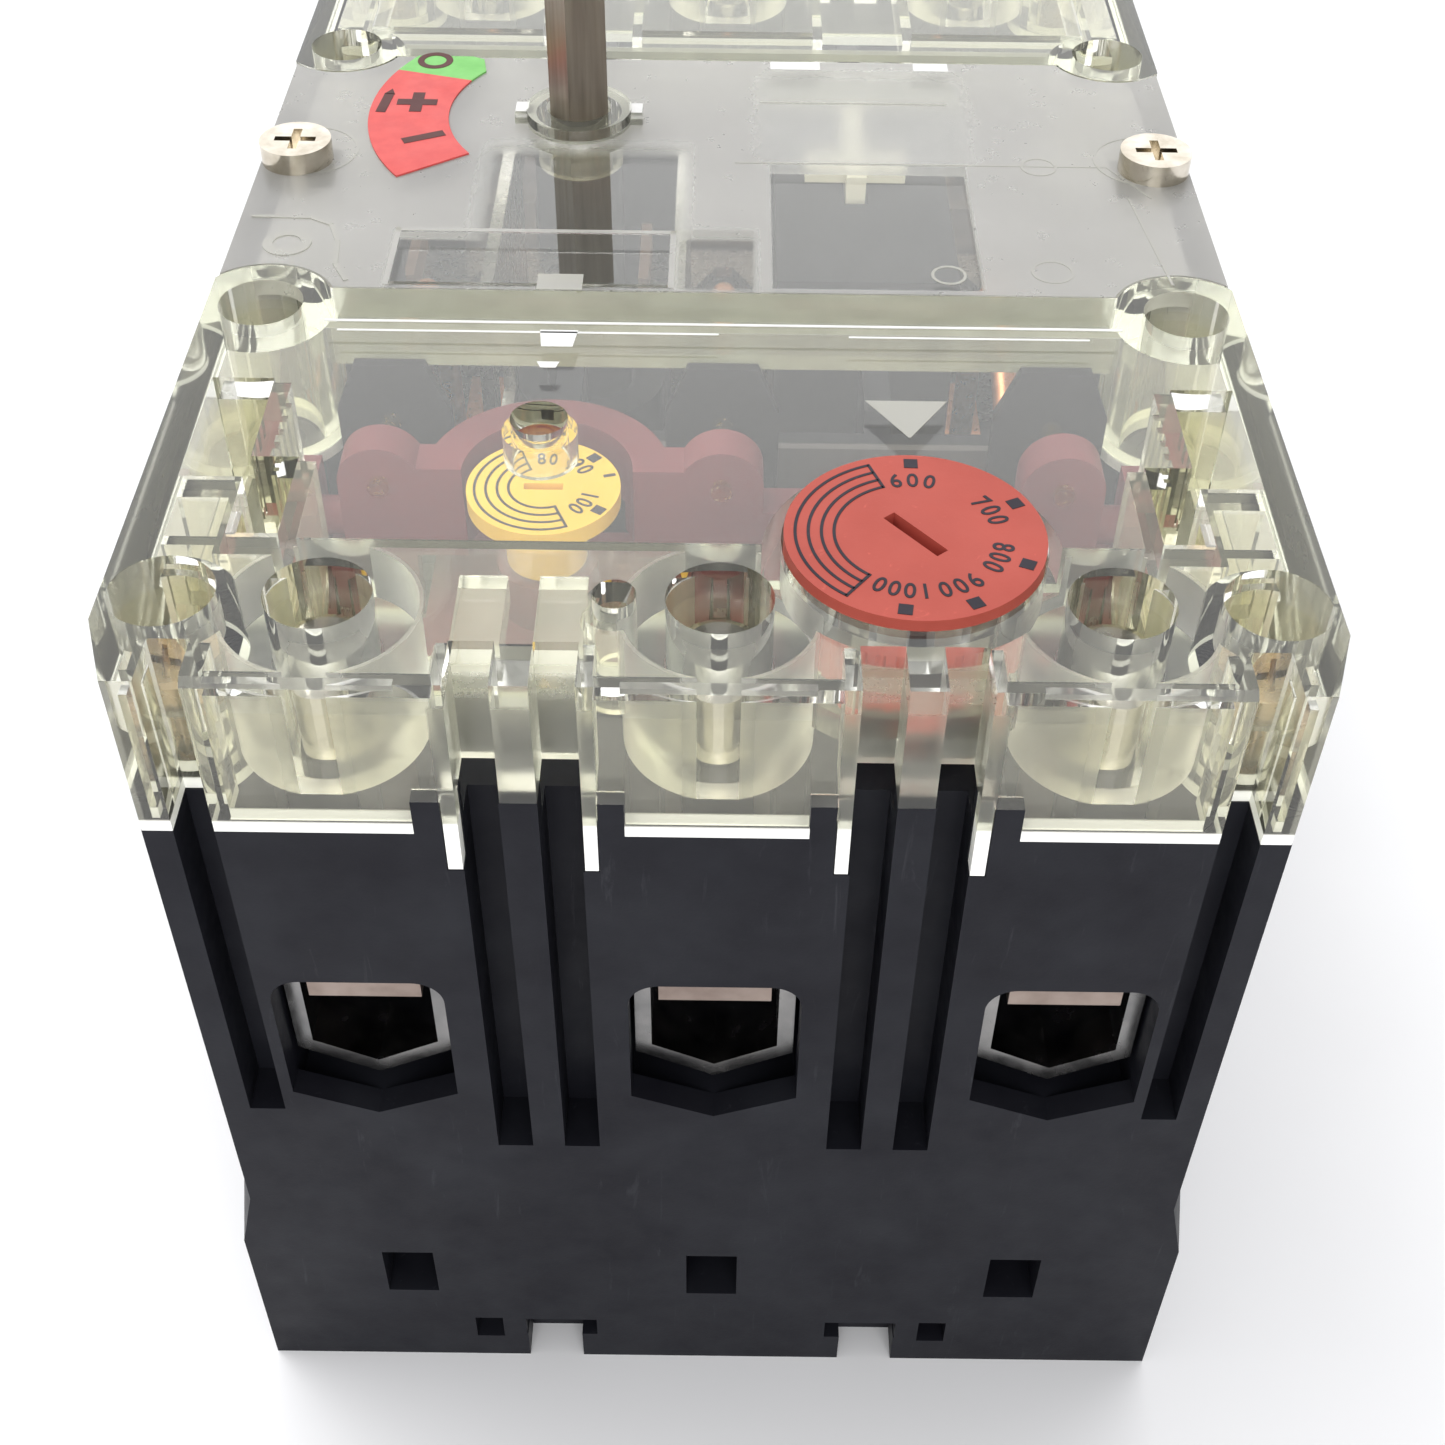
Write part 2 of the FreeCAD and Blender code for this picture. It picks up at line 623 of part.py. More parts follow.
def build_arc_chutes():
    """Splitter plates with a throat for the arm, between fibre side plates."""
    sides = []
    for pole in POLES:
        plates = []
        for index in range(6):
            level = 38.0 + 4.4 * index
            blank = box((pole_x(pole, -11), pole_x(pole, 11)), (50, 61.5), (level, level + 1.5))
            x = POLES[pole] * size("pole_pitch")
            throat = [(x - 5.5, 49.0), (x + 5.5, 49.0), (x + 1.2, 57.0), (x - 1.2, 57.0)]
            plates.append(cut(blank, prism("Z", throat, level - 1, level + 3)))
        subpart("arc_plates_" + pole, group(plates))
        for low, high in ((-12.5, -11.0), (11.0, 12.5)):
            sides.append(box((pole_x(pole, low), pole_x(pole, high)), (46, 61.5),
                             ("contact_floor", 66)))
    subpart("arc_chute_sides", group(sides))


def arm_blank(pole):
    """The profile of a moving contact arm in the closed position."""
    points = [(8.0, 39.5), (14.0, 38.8), (36.0, 38.2), (47.5, 38.2), (47.5, 41.0), (36.0, 43.4),
              (24.0, 44.6), (12.0, 44.6), (8.0, 44.0)]
    return prism("X", points, pole_x(pole, -4.0), pole_x(pole, 4.0))


def build_arm(pole):
    """A moving contact arm, drawn closed and turned up to the rest position."""
    made = turned(group([arm_blank(pole)]), size("rest_tilt"), size("bar_y"), size("bar_z"))
    subpart("contact_arm_" + pole, made)


def build_moving_contacts():
    """Contact tips under the arms' ends."""
    tips = [box((pole_x(pole, -3.5), pole_x(pole, 3.5)), (41.5, 47), (36.2, 38.2))
            for pole in POLES]
    made = group(tips)
    turned(made, size("rest_tilt"), size("bar_y"), size("bar_z"))
    subpart("moving_contacts", made)


def rounded_path(points, radius):
    """Straight runs joined by tangent arcs."""
    edges = []
    start = points[0]
    for before, corner, after in zip(points, points[1:], points[2:]):
        back = (before - corner).normalize()
        ahead = (after - corner).normalize()
        half = back.getAngle(ahead) / 2
        reach = radius / math.tan(half)
        first = corner + back * reach
        last = corner + ahead * reach
        bisector = (back + ahead).normalize()
        middle = corner + bisector * (radius / math.sin(half) - radius)
        edges.append(Part.makeLine(start, first))
        edges.append(Part.Arc(first, middle, last).toShape())
        start = last
    edges.append(Part.makeLine(start, points[-1]))
    return Part.Wire(edges)


def build_braids():
    """Flexible copper braids from each bimetal over the wall down to its arm."""
    braids = []
    for pole in POLES:
        x = POLES[pole] * size("pole_pitch") - (3.6 if pole == "right" else 0.0)
        route = [(x, -32.0, 94.5), (x, -27.0, 94.5), (x, -20.0, 97.0), (x, -6.0, 96.0),
                 (x, 3.0, 84.0), (x, 5.0, 58.0), (x, 5.8, 40.0)]
        path = rounded_path([FreeCAD.Vector(*point) for point in route], 5.0)
        first = path.Edges[0]
        heading = first.tangentAt(first.FirstParameter)
        section = Part.Wire(Part.makeCircle(1.4, FreeCAD.Vector(*route[0]), heading))
        item = fresh("Part::Feature", "braid")
        item.Shape = path.makePipeShell([section], True, True)
        braids.append(item)
    subpart("flexible_braids", group(braids))


# ---------------------------------------------------------------- drive and mechanism

def build_crossbar():
    """The moulded crossbar with the lever and pin that the slider drives."""
    reach = "body_width / 2 - body_wall - 1"
    bar = rod("bar_radius", ("-(%s)" % reach, reach), "bar_y", "bar_z")
    flats = []
    for pole in POLES:
        flats.append(rod("bar_radius + 2.2", (pole_x(pole, -8.0), pole_x(pole, -4.0)),
                         "bar_y", "bar_z"))
        flats.append(rod("bar_radius + 2.2", (pole_x(pole, 4.0), pole_x(pole, 8.0)),
                         "bar_y", "bar_z"))
    pivot = "bar_z + lever_reach"
    lever = box((-25.9, -23.5), ("bar_y - 2", "bar_y + 2"), ("bar_z", pivot + "+ 1"))
    pin = rod("pin_radius", (-24.0, -16.5), "bar_y", pivot)
    sockets = [turned(group([arm_blank(pole)]), size("rest_tilt"), size("bar_y"), size("bar_z"))
               for pole in POLES]
    subpart("crossbar", cut(join(bar, lever, pin, *flats), *sockets))


def build_drive():
    """Square shaft, its collar in the plate, the crank drum and the slider."""
    half = size("shaft_side") / 2
    turn = math.radians(size("shaft_turn"))
    x = size("hub_x")
    y = size("hub_y")

    def corner(u, v):
        return (x + u * math.cos(turn) - v * math.sin(turn),
                y + u * math.sin(turn) + v * math.cos(turn))

    square = [corner(-half, -half), corner(half, -half), corner(half, half), corner(-half, half)]
    subpart("drive_shaft", prism("Z", square, "drum_low", "shaft_top"))
    drum = rod("drum_radius", "hub_x", "hub_y", ("drum_low", "drum_low + drum_thick"))
    neck = rod(5.5, "hub_x", "hub_y", ("drum_low", "drum_low + drum_thick + 6"))
    pin = rod("pin_radius", "hub_x + crank_radius", "hub_y", ("drum_low - 4.5", "drum_low + 1"))
    socket = prism("Z", square, "drum_low", "drum_low + drum_thick + 7")
    subpart("crank_drum", cut(join(drum, neck, pin), socket))
    ring = rod(6.1, "hub_x", "hub_y", ("cover_top", "cover_top + 1.6"))
    sleeve = rod(4.95, "hub_x", "hub_y", (103, "cover_top + 1"))
    lugs = box(("hub_x - 7.4", "hub_x + 7.4"), ("hub_y - 1.2", "hub_y + 1.2"),
               ("cover_top", "cover_top + 1.1"))
    bore = rod(3.75, "hub_x", "hub_y", (100, 115))
    subpart("shaft_collar", cut(join(ring, sleeve, lugs), bore))
    plate = box((-26.4, -6.8), (4, 24.4), (61, 65))
    fork = [box((-22.4, -17.0), (low, high), (53.9, 62)) for low, high in ((13.9, 16.2), (19.8, 22.1))]
    slot = box((-12.9, -8.1), (8.9, 12.5), (60, 66))
    subpart("drive_slider", cut(join(plate, *fork), slot))


def build_mechanism_frame():
    """The steel frame of the drive: two side plates, a floor and a spring anchor."""
    floor = box((-28.6, -4.6), (-8, 35), ("mech_ledge", "mech_ledge + 1.5"))
    opening = box((-26.9, -22.6), (9, 27), (50, 56))
    plates = [box((low, high), (-8, 35), ("mech_ledge", 94)) for low, high in
              ((-28.6, -27.1), (-6.1, -4.6))]
    windows = [prism("X", [(-3, 70), (12, 70), (12, 86), (-3, 86)], low, high)
               for low, high in ((-30, -26), (-7, -4))]
    anchor = box((-28, -5), (33.5, 35), ("mech_ledge", 70))
    subpart("mechanism_frame", cut(join(floor, anchor, *plates), opening, *windows))


def build_springs():
    """Return springs between the slider and the frame's anchor."""
    springs = []
    for x in (-23.0, -9.5):
        helix = Part.makeHelix(1.3, 8.3, 2.1)
        start = helix.Edges[0].valueAt(helix.Edges[0].FirstParameter)
        heading = helix.Edges[0].tangentAt(helix.Edges[0].FirstParameter)
        section = Part.Wire(Part.makeCircle(0.35, start, heading))
        coil = Part.Wire(helix.Edges).makePipeShell([section], True, True)
        coil.Placement = FreeCAD.Placement(FreeCAD.Vector(x, 24.8, 63.0),
                                           FreeCAD.Rotation(FreeCAD.Vector(1, 0, 0), -90))
        item = fresh("Part::Feature", "spring")
        item.Shape = coil
        springs.append(item)
    subpart("return_springs", group(springs))


def build_auxiliary():
    """The auxiliary switch block over the right partition and its plunger."""
    body = box((6.1, 27.4), (-4, 26), ("mech_ledge", 96))
    channel = box((14.5, 17.5), (14, 27), (94, 97))
    subpart("auxiliary_switch", cut(body, channel))
    stem = box((14.8, 17.2), (15.6, 34), (94.4, 98.6))
    head = box((9.8, 22.2), (18.4, 21.4), (96.4, 98.6))
    subpart("auxiliary_plunger", join(stem, head))


# ---------------------------------------------------------------- trip unit

def build_trip_bar():
    """The trip bar: three round-topped lobes, an arch round the thermal dial,
    a low link, and arms that reach down to the armatures."""
    y = ("trip_y - trip_deep / 2", "trip_y + trip_deep / 2")
    parts = [box((pole_x("left"), pole_x("centre")), y, (89, "trip_top")),
             box((pole_x("centre"), pole_x("right")), y, (89, 94.5)),
             rod(2.0, (-43.4, 43.4), "trip_y", "trip_z")]
    arch = rod("arch_outer", "thermal_x", "trip_y - trip_deep / 2", (92.5, "trip_top"))
    behind = box(("thermal_x - 14", "thermal_x + 14"), ("trip_y - trip_deep / 2", -25), (90, 105))
    half_arch = fresh("Part::Common", "arch")
    half_arch.Base = arch
    half_arch.Tool = behind
    parts.append(half_arch)
    for pole in POLES:
        x = (pole_x(pole) + "- lobe_radius", pole_x(pole) + "+ lobe_radius")
        parts.append(box(x, y, (89, "lobe_level")))
        parts.append(rod("lobe_radius", pole_x(pole), y, "lobe_level"))
        parts.append(box((pole_x(pole, -3), pole_x(pole, 3)), ("trip_y - trip_deep / 2", "trip_y"),
                         (82, 90)))
    throat = rod("arch_inner", "thermal_x", "trip_y - trip_deep / 2", (80, 110))
    bores = [rod(1.05, pole_x(pole), (-50, -38), "lobe_level") for pole in POLES]
    subpart("trip_bar", cut(join(*parts), throat, *bores))
    screws = [rod(1.05, pole_x(pole), (-46.0, -34.6), "lobe_level") for pole in POLES]
    subpart("calibration_screws", group(screws))


def build_trip_frame():
    """The maroon carrier of the trip unit, with cheeks for the trip bar."""
    plate = box((-45, 45), (-65.8, -38.5), ("trip_ledge", "trip_ledge + 2.5"))
    front = box((-45, 45), (-65.8, -63.8), ("trip_ledge", 91))
    cheeks = [box((low, high), (-48, -38.5), ("trip_ledge", 96)) for low, high in
              ((-43.6, -41.0), (41.0, 43.6))]
    post = rod(5.0, "thermal_x", "thermal_y", ("trip_ledge", 92))
    notches = [box((pole_x(pole, -4.4), pole_x(pole, 4.4)), (-52, -37), (80, 90)) for pole in POLES]
    holes = [rod("2 + running", (-50, 50), "trip_y", "trip_z"),
             rod("2.2 + running", "thermal_x", "thermal_y", (80, 100))]
    subpart("trip_unit_frame", cut(join(plate, front, post, *cheeks), *(notches + holes)))


def build_magnet(pole):
    """A steel yoke round the bimetal and the hinged armature in front of it."""
    back = box((pole_x(pole, -9), pole_x(pole, 9)), (-31, -29.5), (68.5, 83.5))
    legs = []
    for low, high in ((-9, -7), (7, 9)):
        x = (pole_x(pole, low), pole_x(pole, high))
        legs.append(box(x, (-46.3, -29.5), (68.5, 83.5)))
        legs.append(box(x, (-50.6, -46), (68.5, 75.2)))
    pivot = rod("1 + running", (pole_x(pole, -10), pole_x(pole, 10)), -48.75, 72.4)
    subpart("magnet_yoke_" + pole, cut(join(back, *legs), pivot))
    lower = box((pole_x(pole, -6.7), pole_x(pole, 6.7)), (-49.5, -48), (71, 78))
    upper = box((pole_x(pole, -9), pole_x(pole, 9)), (-49.5, -48), (76, 83.5))
    finger = box((pole_x(pole, -2.5), pole_x(pole, 2.5)), (-49.5, -48), (83, 87.5))
    pin = rod(1.0, (pole_x(pole, -9), pole_x(pole, 9)), -48.75, 72.4)
    subpart("armature_" + pole, join(lower, upper, finger, pin))


def build_dials():
    """The thermal dial under the cover and the magnetic dial standing out of it."""
    disc = rod("thermal_radius", "thermal_x", "thermal_y", ("thermal_top - 1.8", "thermal_top"))
    stem = rod(2.2, "thermal_x", "thermal_y", ("trip_ledge + 1", "thermal_top"))
    collar = rod(4.0, "thermal_x", "thermal_y", (92.3, "thermal_top - 1"))
    slot = box(("thermal_x - 1.9", "thermal_x + 1.9"), ("thermal_y - 0.5", "thermal_y + 0.5"),
               ("thermal_top - 1.2", "thermal_top + 1"))
    subpart("thermal_dial", cut(join(disc, stem, collar), slot))
    x = size("magnetic_x")
    y = size("magnetic_y")
    top = size("magnetic_top")
    head = rod("magnetic_radius", "magnetic_x", "magnetic_y", ("magnetic_top - 3.4", "magnetic_top"))
    skirt = rod("magnetic_radius - 0.3", "magnetic_x", "magnetic_y", (100.9, "magnetic_top - 3"))
    shaft = rod(3.0, "magnetic_x", "magnetic_y", (94.5, "magnetic_top - 3"))
    flutes = []
    for index in range(40):
        angle = math.radians(9 * index)
        reach = size("magnetic_radius") - 0.1
        flutes.append(rod(0.5, x + reach * math.cos(angle), y + reach * math.sin(angle),
                          (100, top - 3.4)))
    cut_slot = box((-3.4, 3.4), (-0.65, 0.65), (0, 4))
    holder = fresh("Part::Compound", "slot")
    holder.Links = [cut_slot]
    holder.Placement = FreeCAD.Placement(FreeCAD.Vector(x, y, top - 1.8),
                                         FreeCAD.Rotation(FreeCAD.Vector(0, 0, 1), -50))
    subpart("magnetic_dial", cut(join(head, skirt, shaft), holder, *flutes))


# ---------------------------------------------------------------- build and write

def build_all():
    """Every sub-part of the breaker."""
    build_housing()
    build_load_cover()
    build_line_cover()
    build_front_plate()
    build_screws()
    build_label()
    for end in ENDS:
        for pole in POLES:
            build_cage(end, pole)
            build_terminal_screw(end, pole)
    for pole in POLES:
        build_load_bar(pole)
        build_bimetal(pole)
        build_line_bar(pole)
        build_arm(pole)
        build_magnet(pole)
    build_contacts()
    build_arc_chutes()
    build_moving_contacts()
    build_braids()
    build_crossbar()
    build_drive()
    build_mechanism_frame()
    build_springs()
    build_auxiliary()
    build_trip_bar()
    build_trip_frame()
    build_dials()


def check_document():
    """Stop if an object failed or a sub-part has no valid shape."""
    for item in document.Objects:
        if "Invalid" in item.State or "Error" in item.State:
            raise RuntimeError("%s (%s) failed: %s" % (item.Name, item.Label, item.State))
    for name, item in subparts:
        if item.Shape.isNull() or not item.Shape.isValid():
            raise RuntimeError("%s has no valid shape" % name)


def write_subparts():
    """One STEP file for each sub-part."""
    os.makedirs("parts", exist_ok=True)
    for name, item in subparts:
        item.Shape.exportStep("parts/%s.step" % name)
        print("%-24s solids %2d volume %10.1f" % (name, len(item.Shape.Solids), item.Shape.Volume))


build_all()
document.recompute()
check_document()
write_subparts()
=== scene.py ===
import math

import bmesh
import bpy
from mathutils import Matrix, Vector


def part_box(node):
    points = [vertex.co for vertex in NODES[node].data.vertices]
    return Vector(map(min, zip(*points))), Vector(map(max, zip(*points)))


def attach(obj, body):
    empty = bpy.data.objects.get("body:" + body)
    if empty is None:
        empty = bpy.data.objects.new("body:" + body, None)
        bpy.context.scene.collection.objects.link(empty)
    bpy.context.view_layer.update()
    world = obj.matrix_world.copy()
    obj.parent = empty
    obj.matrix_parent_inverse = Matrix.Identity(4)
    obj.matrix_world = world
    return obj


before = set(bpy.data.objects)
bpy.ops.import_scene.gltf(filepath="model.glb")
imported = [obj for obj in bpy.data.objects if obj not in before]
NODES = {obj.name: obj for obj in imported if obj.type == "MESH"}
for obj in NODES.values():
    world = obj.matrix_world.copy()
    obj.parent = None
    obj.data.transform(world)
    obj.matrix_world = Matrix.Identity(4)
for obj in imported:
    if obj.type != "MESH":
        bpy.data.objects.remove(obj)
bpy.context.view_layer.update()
SIDES = ("left", "centre", "right")
MM = 0.001

# Levels and places on the part, in millimetres.
SKIN_LEVEL = 106.6
EDGE_LEVEL = 93.6
POLE_X = (-34.1, 0.0, 34.1)
WELL_Y = 74.7
TUBE_RADIUS = 8.9
BORE_RADIUS = 4.8
SLOT_X = 17.05

# Heights of printed and raised marks, in millimetres.
INK = 0.05
MARK = 0.06
BEAD = 0.1
RIM = 0.12

# Light and camera.
DOME_LEVEL = 0.55
PATCH_LEVEL = 1.75
PATCH_HEIGHT = 45.0
PATCH_OUTER = 48.0
PATCH_INNER = 34.0
KEY_PLACE, KEY_TARGET, KEY_SIZE, KEY_WATTS = (-0.45, 0.15, 0.85), (0, 0, 0.08), 0.5, 3.0
FILL_PLACE, FILL_TARGET, FILL_SIZE, FILL_WATTS = (0.05, -1.0, 0.6), (0.0, -0.1, 0.05), 0.8, 6.5
CAMERA_PLACE = (0.0, -198.3, 215.3)
CAMERA_PITCH = 44.158
CAMERA_YAW = 0.1669
CAMERA_ROLL = 0.8553
CAMERA_LENS = 47.725
CAMERA_SENSOR = 36.0


def mm(*values):
    """A point given in millimetres, in metres."""
    return Vector([v * MM for v in values])


# ---------------------------------------------------------------- materials

class Shader:
    """A node material built step by step."""

    def __init__(self, name):
        self.material = bpy.data.materials.new(name)
        self.material.use_nodes = True
        self.tree = self.material.node_tree
        self.out = self.tree.nodes["Material Output"]
        self.main = self.tree.nodes["Principled BSDF"]
        self.space = self.new("ShaderNodeTexCoord").outputs["Object"]

    def new(self, kind, **settings):
        node = self.tree.nodes.new(kind)
        for key, value in settings.items():
            setattr(node, key, value)
        return node

    def link(self, source, target):
        self.tree.links.new(source, target)

    def put(self, **values):
        """Set sockets of the main shader; a space in a name is written as _."""
        for key, value in values.items():
            self.main.inputs[key.replace("_", " ")].default_value = value
        return self

    def stretch(self, scale):
        """Coordinates in millimetres, scaled on each axis."""
        mapping = self.new("ShaderNodeMapping")
        mapping.inputs["Scale"].default_value = [1000.0 * s for s in scale]
        self.link(self.space, mapping.inputs["Vector"])
        return mapping.outputs["Vector"]

    def noise(self, size, detail=4.0, rough=0.55, stretch=(1, 1, 1), distortion=0.0):
        """Noise whose blotches are about that many millimetres across."""
        node = self.new("ShaderNodeTexNoise")
        node.inputs["Scale"].default_value = 1.0 / size
        node.inputs["Detail"].default_value = detail
        node.inputs["Roughness"].default_value = rough
        node.inputs["Distortion"].default_value = distortion
        self.link(self.stretch(stretch), node.inputs["Vector"])
        return node.outputs["Fac"]

    def ramp(self, factor, *stops):
        """A colour ramp with stops given as (place, value or colour)."""
        node = self.new("ShaderNodeValToRGB")
        elements = node.color_ramp.elements
        while len(elements) < len(stops):
            elements.new(0.5)
        for element, (place, value) in zip(elements, stops):
            element.position = place
            element.color = (value,) * 3 + (1,) if isinstance(value, float) else tuple(value) + (1,)
        self.link(factor, node.inputs["Fac"])
        return node.outputs["Color"]

    def mix(self, factor, a, b, mode="MIX"):
        """Mix two colours; each is a socket or a tuple."""
        node = self.new("ShaderNodeMix", data_type="RGBA", blend_type=mode)
        for name, value in (("Factor", factor), ("A", a), ("B", b)):
            socket = [s for s in node.inputs if s.name == name and s.enabled][0]
            if isinstance(value, bpy.types.NodeSocket):
                self.link(value, socket)
            elif name == "Factor":
                socket.default_value = value
            else:
                socket.default_value = tuple(value) + (1,)
        return [s for s in node.outputs if s.enabled][0]

    def math(self, operation, a, b=0.0):
        """Arithmetic on two sockets or numbers."""
        node = self.new("ShaderNodeMath", operation=operation)
        for index, value in enumerate((a, b)):
            if isinstance(value, bpy.types.NodeSocket):
                self.link(value, node.inputs[index])
            else:
                node.inputs[index].default_value = value
        return node.outputs[0]

    def axes(self):
        """The object's X, Y and Z in millimetres, as three sockets."""
        node = self.new("ShaderNodeSeparateXYZ")
        self.link(self.stretch((1, 1, 1)), node.inputs[0])
        return node.outputs

    def above(self, value, level, soft=0.1):
        """One where a value in millimetres is over a level, nought where it is under."""
        node = self.new("ShaderNodeMapRange")
        node.inputs["From Min"].default_value = level - soft
        node.inputs["From Max"].default_value = level + soft
        self.link(value, node.inputs["Value"])
        return node.outputs["Result"]

    def between(self, value, low, high, soft=0.1):
        """One between two levels."""
        return self.math("SUBTRACT", self.above(value, low, soft), self.above(value, high, soft))

    def inside(self, x_span, y_span, soft=0.1):
        """One inside a rectangle of the plan, nought outside."""
        x, y, _ = self.axes()
        return self.math("MULTIPLY", self.between(x, *x_span, soft=soft),
                         self.between(y, *y_span, soft=soft))

    def near_axis(self, x, y, radius, soft=0.1):
        """One within a radius of an upright axis."""
        shift = self.new("ShaderNodeVectorMath", operation="MULTIPLY_ADD")
        self.link(self.stretch((1, 1, 1)), shift.inputs[0])
        shift.inputs[1].default_value = (1, 1, 0)
        shift.inputs[2].default_value = (-x, -y, 0)
        length = self.new("ShaderNodeVectorMath", operation="LENGTH")
        self.link(shift.outputs[0], length.inputs[0])
        return self.math("SUBTRACT", 1.0, self.above(length.outputs["Value"], radius, soft))

    def either(self, *masks):
        """One where any mask is."""
        total = masks[0]
        for mask in masks[1:]:
            total = self.math("MAXIMUM", total, mask)
        return total

    def color(self, source):
        self.link(source, self.main.inputs["Base Color"])
        return self

    def roughness(self, source):
        self.link(source, self.main.inputs["Roughness"])
        return self

    def bump(self, height, depth, strength=1.0):
        """Bump of a height field, with depth in millimetres."""
        node = self.new("ShaderNodeBump")
        node.inputs["Strength"].default_value = strength
        node.inputs["Distance"].default_value = depth * MM
        self.link(height, node.inputs["Height"])
        existing = self.main.inputs["Normal"].links
        if existing:
            self.link(existing[0].from_socket, node.inputs["Normal"])
        self.link(node.outputs["Normal"], self.main.inputs["Normal"])
        return self


def moulding(name, dark, light, low=0.34, high=0.52, gloss=0.2, tooth=0.02, scuff=0.36,
             inner=None):
    """Satin moulded plastic: clouded colour, fine grain and light handling scuffs.

    Roughness runs from low to high, tooth is the depth of the grain in millimetres, scuff the
    strength of the scuffs, and inner a mask of inner walls painted paler: painted light standing for
    the light that the clear cover scatters onto them.
    """
    s = Shader(name)
    s.put(Specular_IOR_Level=gloss)
    clouds = s.noise(9.0, 5.0)
    base = s.mix(s.ramp(clouds, (0.3, 0.0), (0.75, 1.0)), dark, light)
    if inner:
        # Painted light: inside the mask the colour is mixed toward a paler grey, standing for light the
        # clear cover scatters onto the inner walls.
        base = s.mix(inner(s), base, (0.12, 0.11, 0.105))
    lines = s.noise(1.6, 6.0, 0.7, stretch=(1.0, 1.0, 0.12), distortion=0.6)
    marks = s.ramp(lines, (0.62, 0.0), (0.72, 1.0))
    pale = tuple(min(1.0, c * 1.6 + 0.02) for c in light)
    s.color(s.mix(s.math("MULTIPLY", marks, scuff), base, pale))
    s.roughness(s.ramp(s.noise(5.0, 6.0, 0.65), (0.3, low), (0.7, high)))
    s.bump(s.noise(0.35, 3.0), tooth, 0.5)
    s.bump(clouds, 0.06, 0.25)
    return s.material


def metal(name, dark, light, low=0.2, high=0.42, size=2.0, stretch=(1, 1, 1), depth=0.004):
    """Plated or bare metal with drawn or cloudy variation."""
    s = Shader(name)
    s.put(Metallic=1.0)
    clouds = s.noise(size, 3.0, 0.5, stretch=stretch)
    s.color(s.mix(s.ramp(clouds, (0.3, 0.0), (0.72, 1.0)), dark, light))
    s.roughness(s.ramp(s.noise(size * 0.6, 3.0, 0.5, stretch=stretch), (0.3, low), (0.72, high)))
    s.bump(s.noise(0.25, 2.0, 0.4, stretch=stretch), depth, 0.35)
    return s.material


def clear_plastic(name, frost=None, milk=None, olive=None, white=None):
    """Clear moulded plastic. Light for shadow rays goes straight through.

    Each of the others gives a mask: frost of matt faces, milk of cloudy ones, olive of thick
    walls and white of rough edges.
    """
    s = Shader(name)
    s.put(IOR=1.5, Metallic=0.0)
    skin = s.above(s.axes()[2], SKIN_LEVEL, 0.05)
    tint = s.mix(skin, (0.91, 0.89, 0.76), (0.95, 0.95, 0.91))
    walls = s.ramp(s.noise(7.0, 4.0, 0.6), (0.3, 0.91), (0.7, 0.95))
    clarity = s.mix(skin, walls, (0.98, 0.98, 0.98))
    rough = s.ramp(s.noise(14.0, 5.0, 0.6), (0.35, 0.0), (0.8, 0.04))
    s.bump(s.noise(6.0, 2.0, 0.4), 0.02, 0.12)
    if frost:
        mask = frost(s)
        rough = s.mix(mask, rough, s.ramp(s.noise(0.8, 4.0, 0.6), (0.3, 0.28), (0.7, 0.40)))
        clarity = s.mix(mask, clarity, (0.965, 0.965, 0.965))
        tint = s.mix(mask, tint, (0.80, 0.79, 0.70))
    if milk:
        mask = milk(s)
        haze = s.ramp(s.noise(11.0, 5.0, 0.6), (0.3, 0.60), (0.7, 0.68))
        clarity = s.mix(mask, clarity, haze)
        tint = s.mix(mask, tint, (0.57, 0.56, 0.535))
        rough = s.mix(mask, rough, s.ramp(s.noise(3.0, 5.0, 0.6), (0.3, 0.26), (0.7, 0.36)))
    if olive:
        mask = olive(s)
        clarity = s.mix(mask, clarity, (0.42, 0.42, 0.42))
        cloud = s.ramp(s.noise(5.0, 4.0), (0.3, 0.0), (0.7, 1.0))
        tint = s.mix(mask, tint, s.mix(cloud, (0.30, 0.30, 0.21), (0.44, 0.44, 0.33)))
        rough = s.mix(mask, rough, (0.12, 0.12, 0.12))
    if white:
        mask = white(s)
        clarity = s.mix(mask, clarity, (0.0, 0.0, 0.0))
        tint = s.mix(mask, tint, (0.97, 0.97, 0.93))
        rough = s.mix(mask, rough, (0.6, 0.6, 0.6))
    s.link(clarity, s.main.inputs["Transmission Weight"])
    s.color(tint)
    s.roughness(rough)
    path = s.new("ShaderNodeLightPath")
    through = s.new("ShaderNodeBsdfTransparent")
    through.inputs["Color"].default_value = (0.93, 0.94, 0.89, 1)
    blend = s.new("ShaderNodeMixShader")
    s.link(path.outputs["Is Shadow Ray"], blend.inputs["Fac"])
    s.link(s.main.outputs["BSDF"], blend.inputs[1])
    s.link(through.outputs["BSDF"], blend.inputs[2])
    s.link(blend.outputs["Shader"], s.out.inputs["Surface"])
    return s.material


def tube_frost(s):
    """The outer faces of the six well tubes and the barrier slots' walls, matt from the mould."""
    z = s.axes()[2]
    tubes = [s.near_axis(x, y, TUBE_RADIUS) for x in POLE_X for y in (-WELL_Y, WELL_Y)]
    wells = [s.near_axis(x, y, BORE_RADIUS) for x in POLE_X for y in (-WELL_Y, WELL_Y)]
    ring = s.math("SUBTRACT", s.either(*tubes), s.either(*wells))
    slots = [s.inside((side * SLOT_X - 6.8, side * SLOT_X + 6.8),
                      (end * 82.8 - 3.4, end * 82.8 + 3.4))
             for side in (-1, 1) for end in (-1, 1)]
    under = s.math("SUBTRACT", 1.0, s.above(z, 107.5, 0.2))
    return s.math("MAXIMUM", s.math("MULTIPLY", ring, under),
                  s.math("MULTIPLY", s.either(*slots), under))


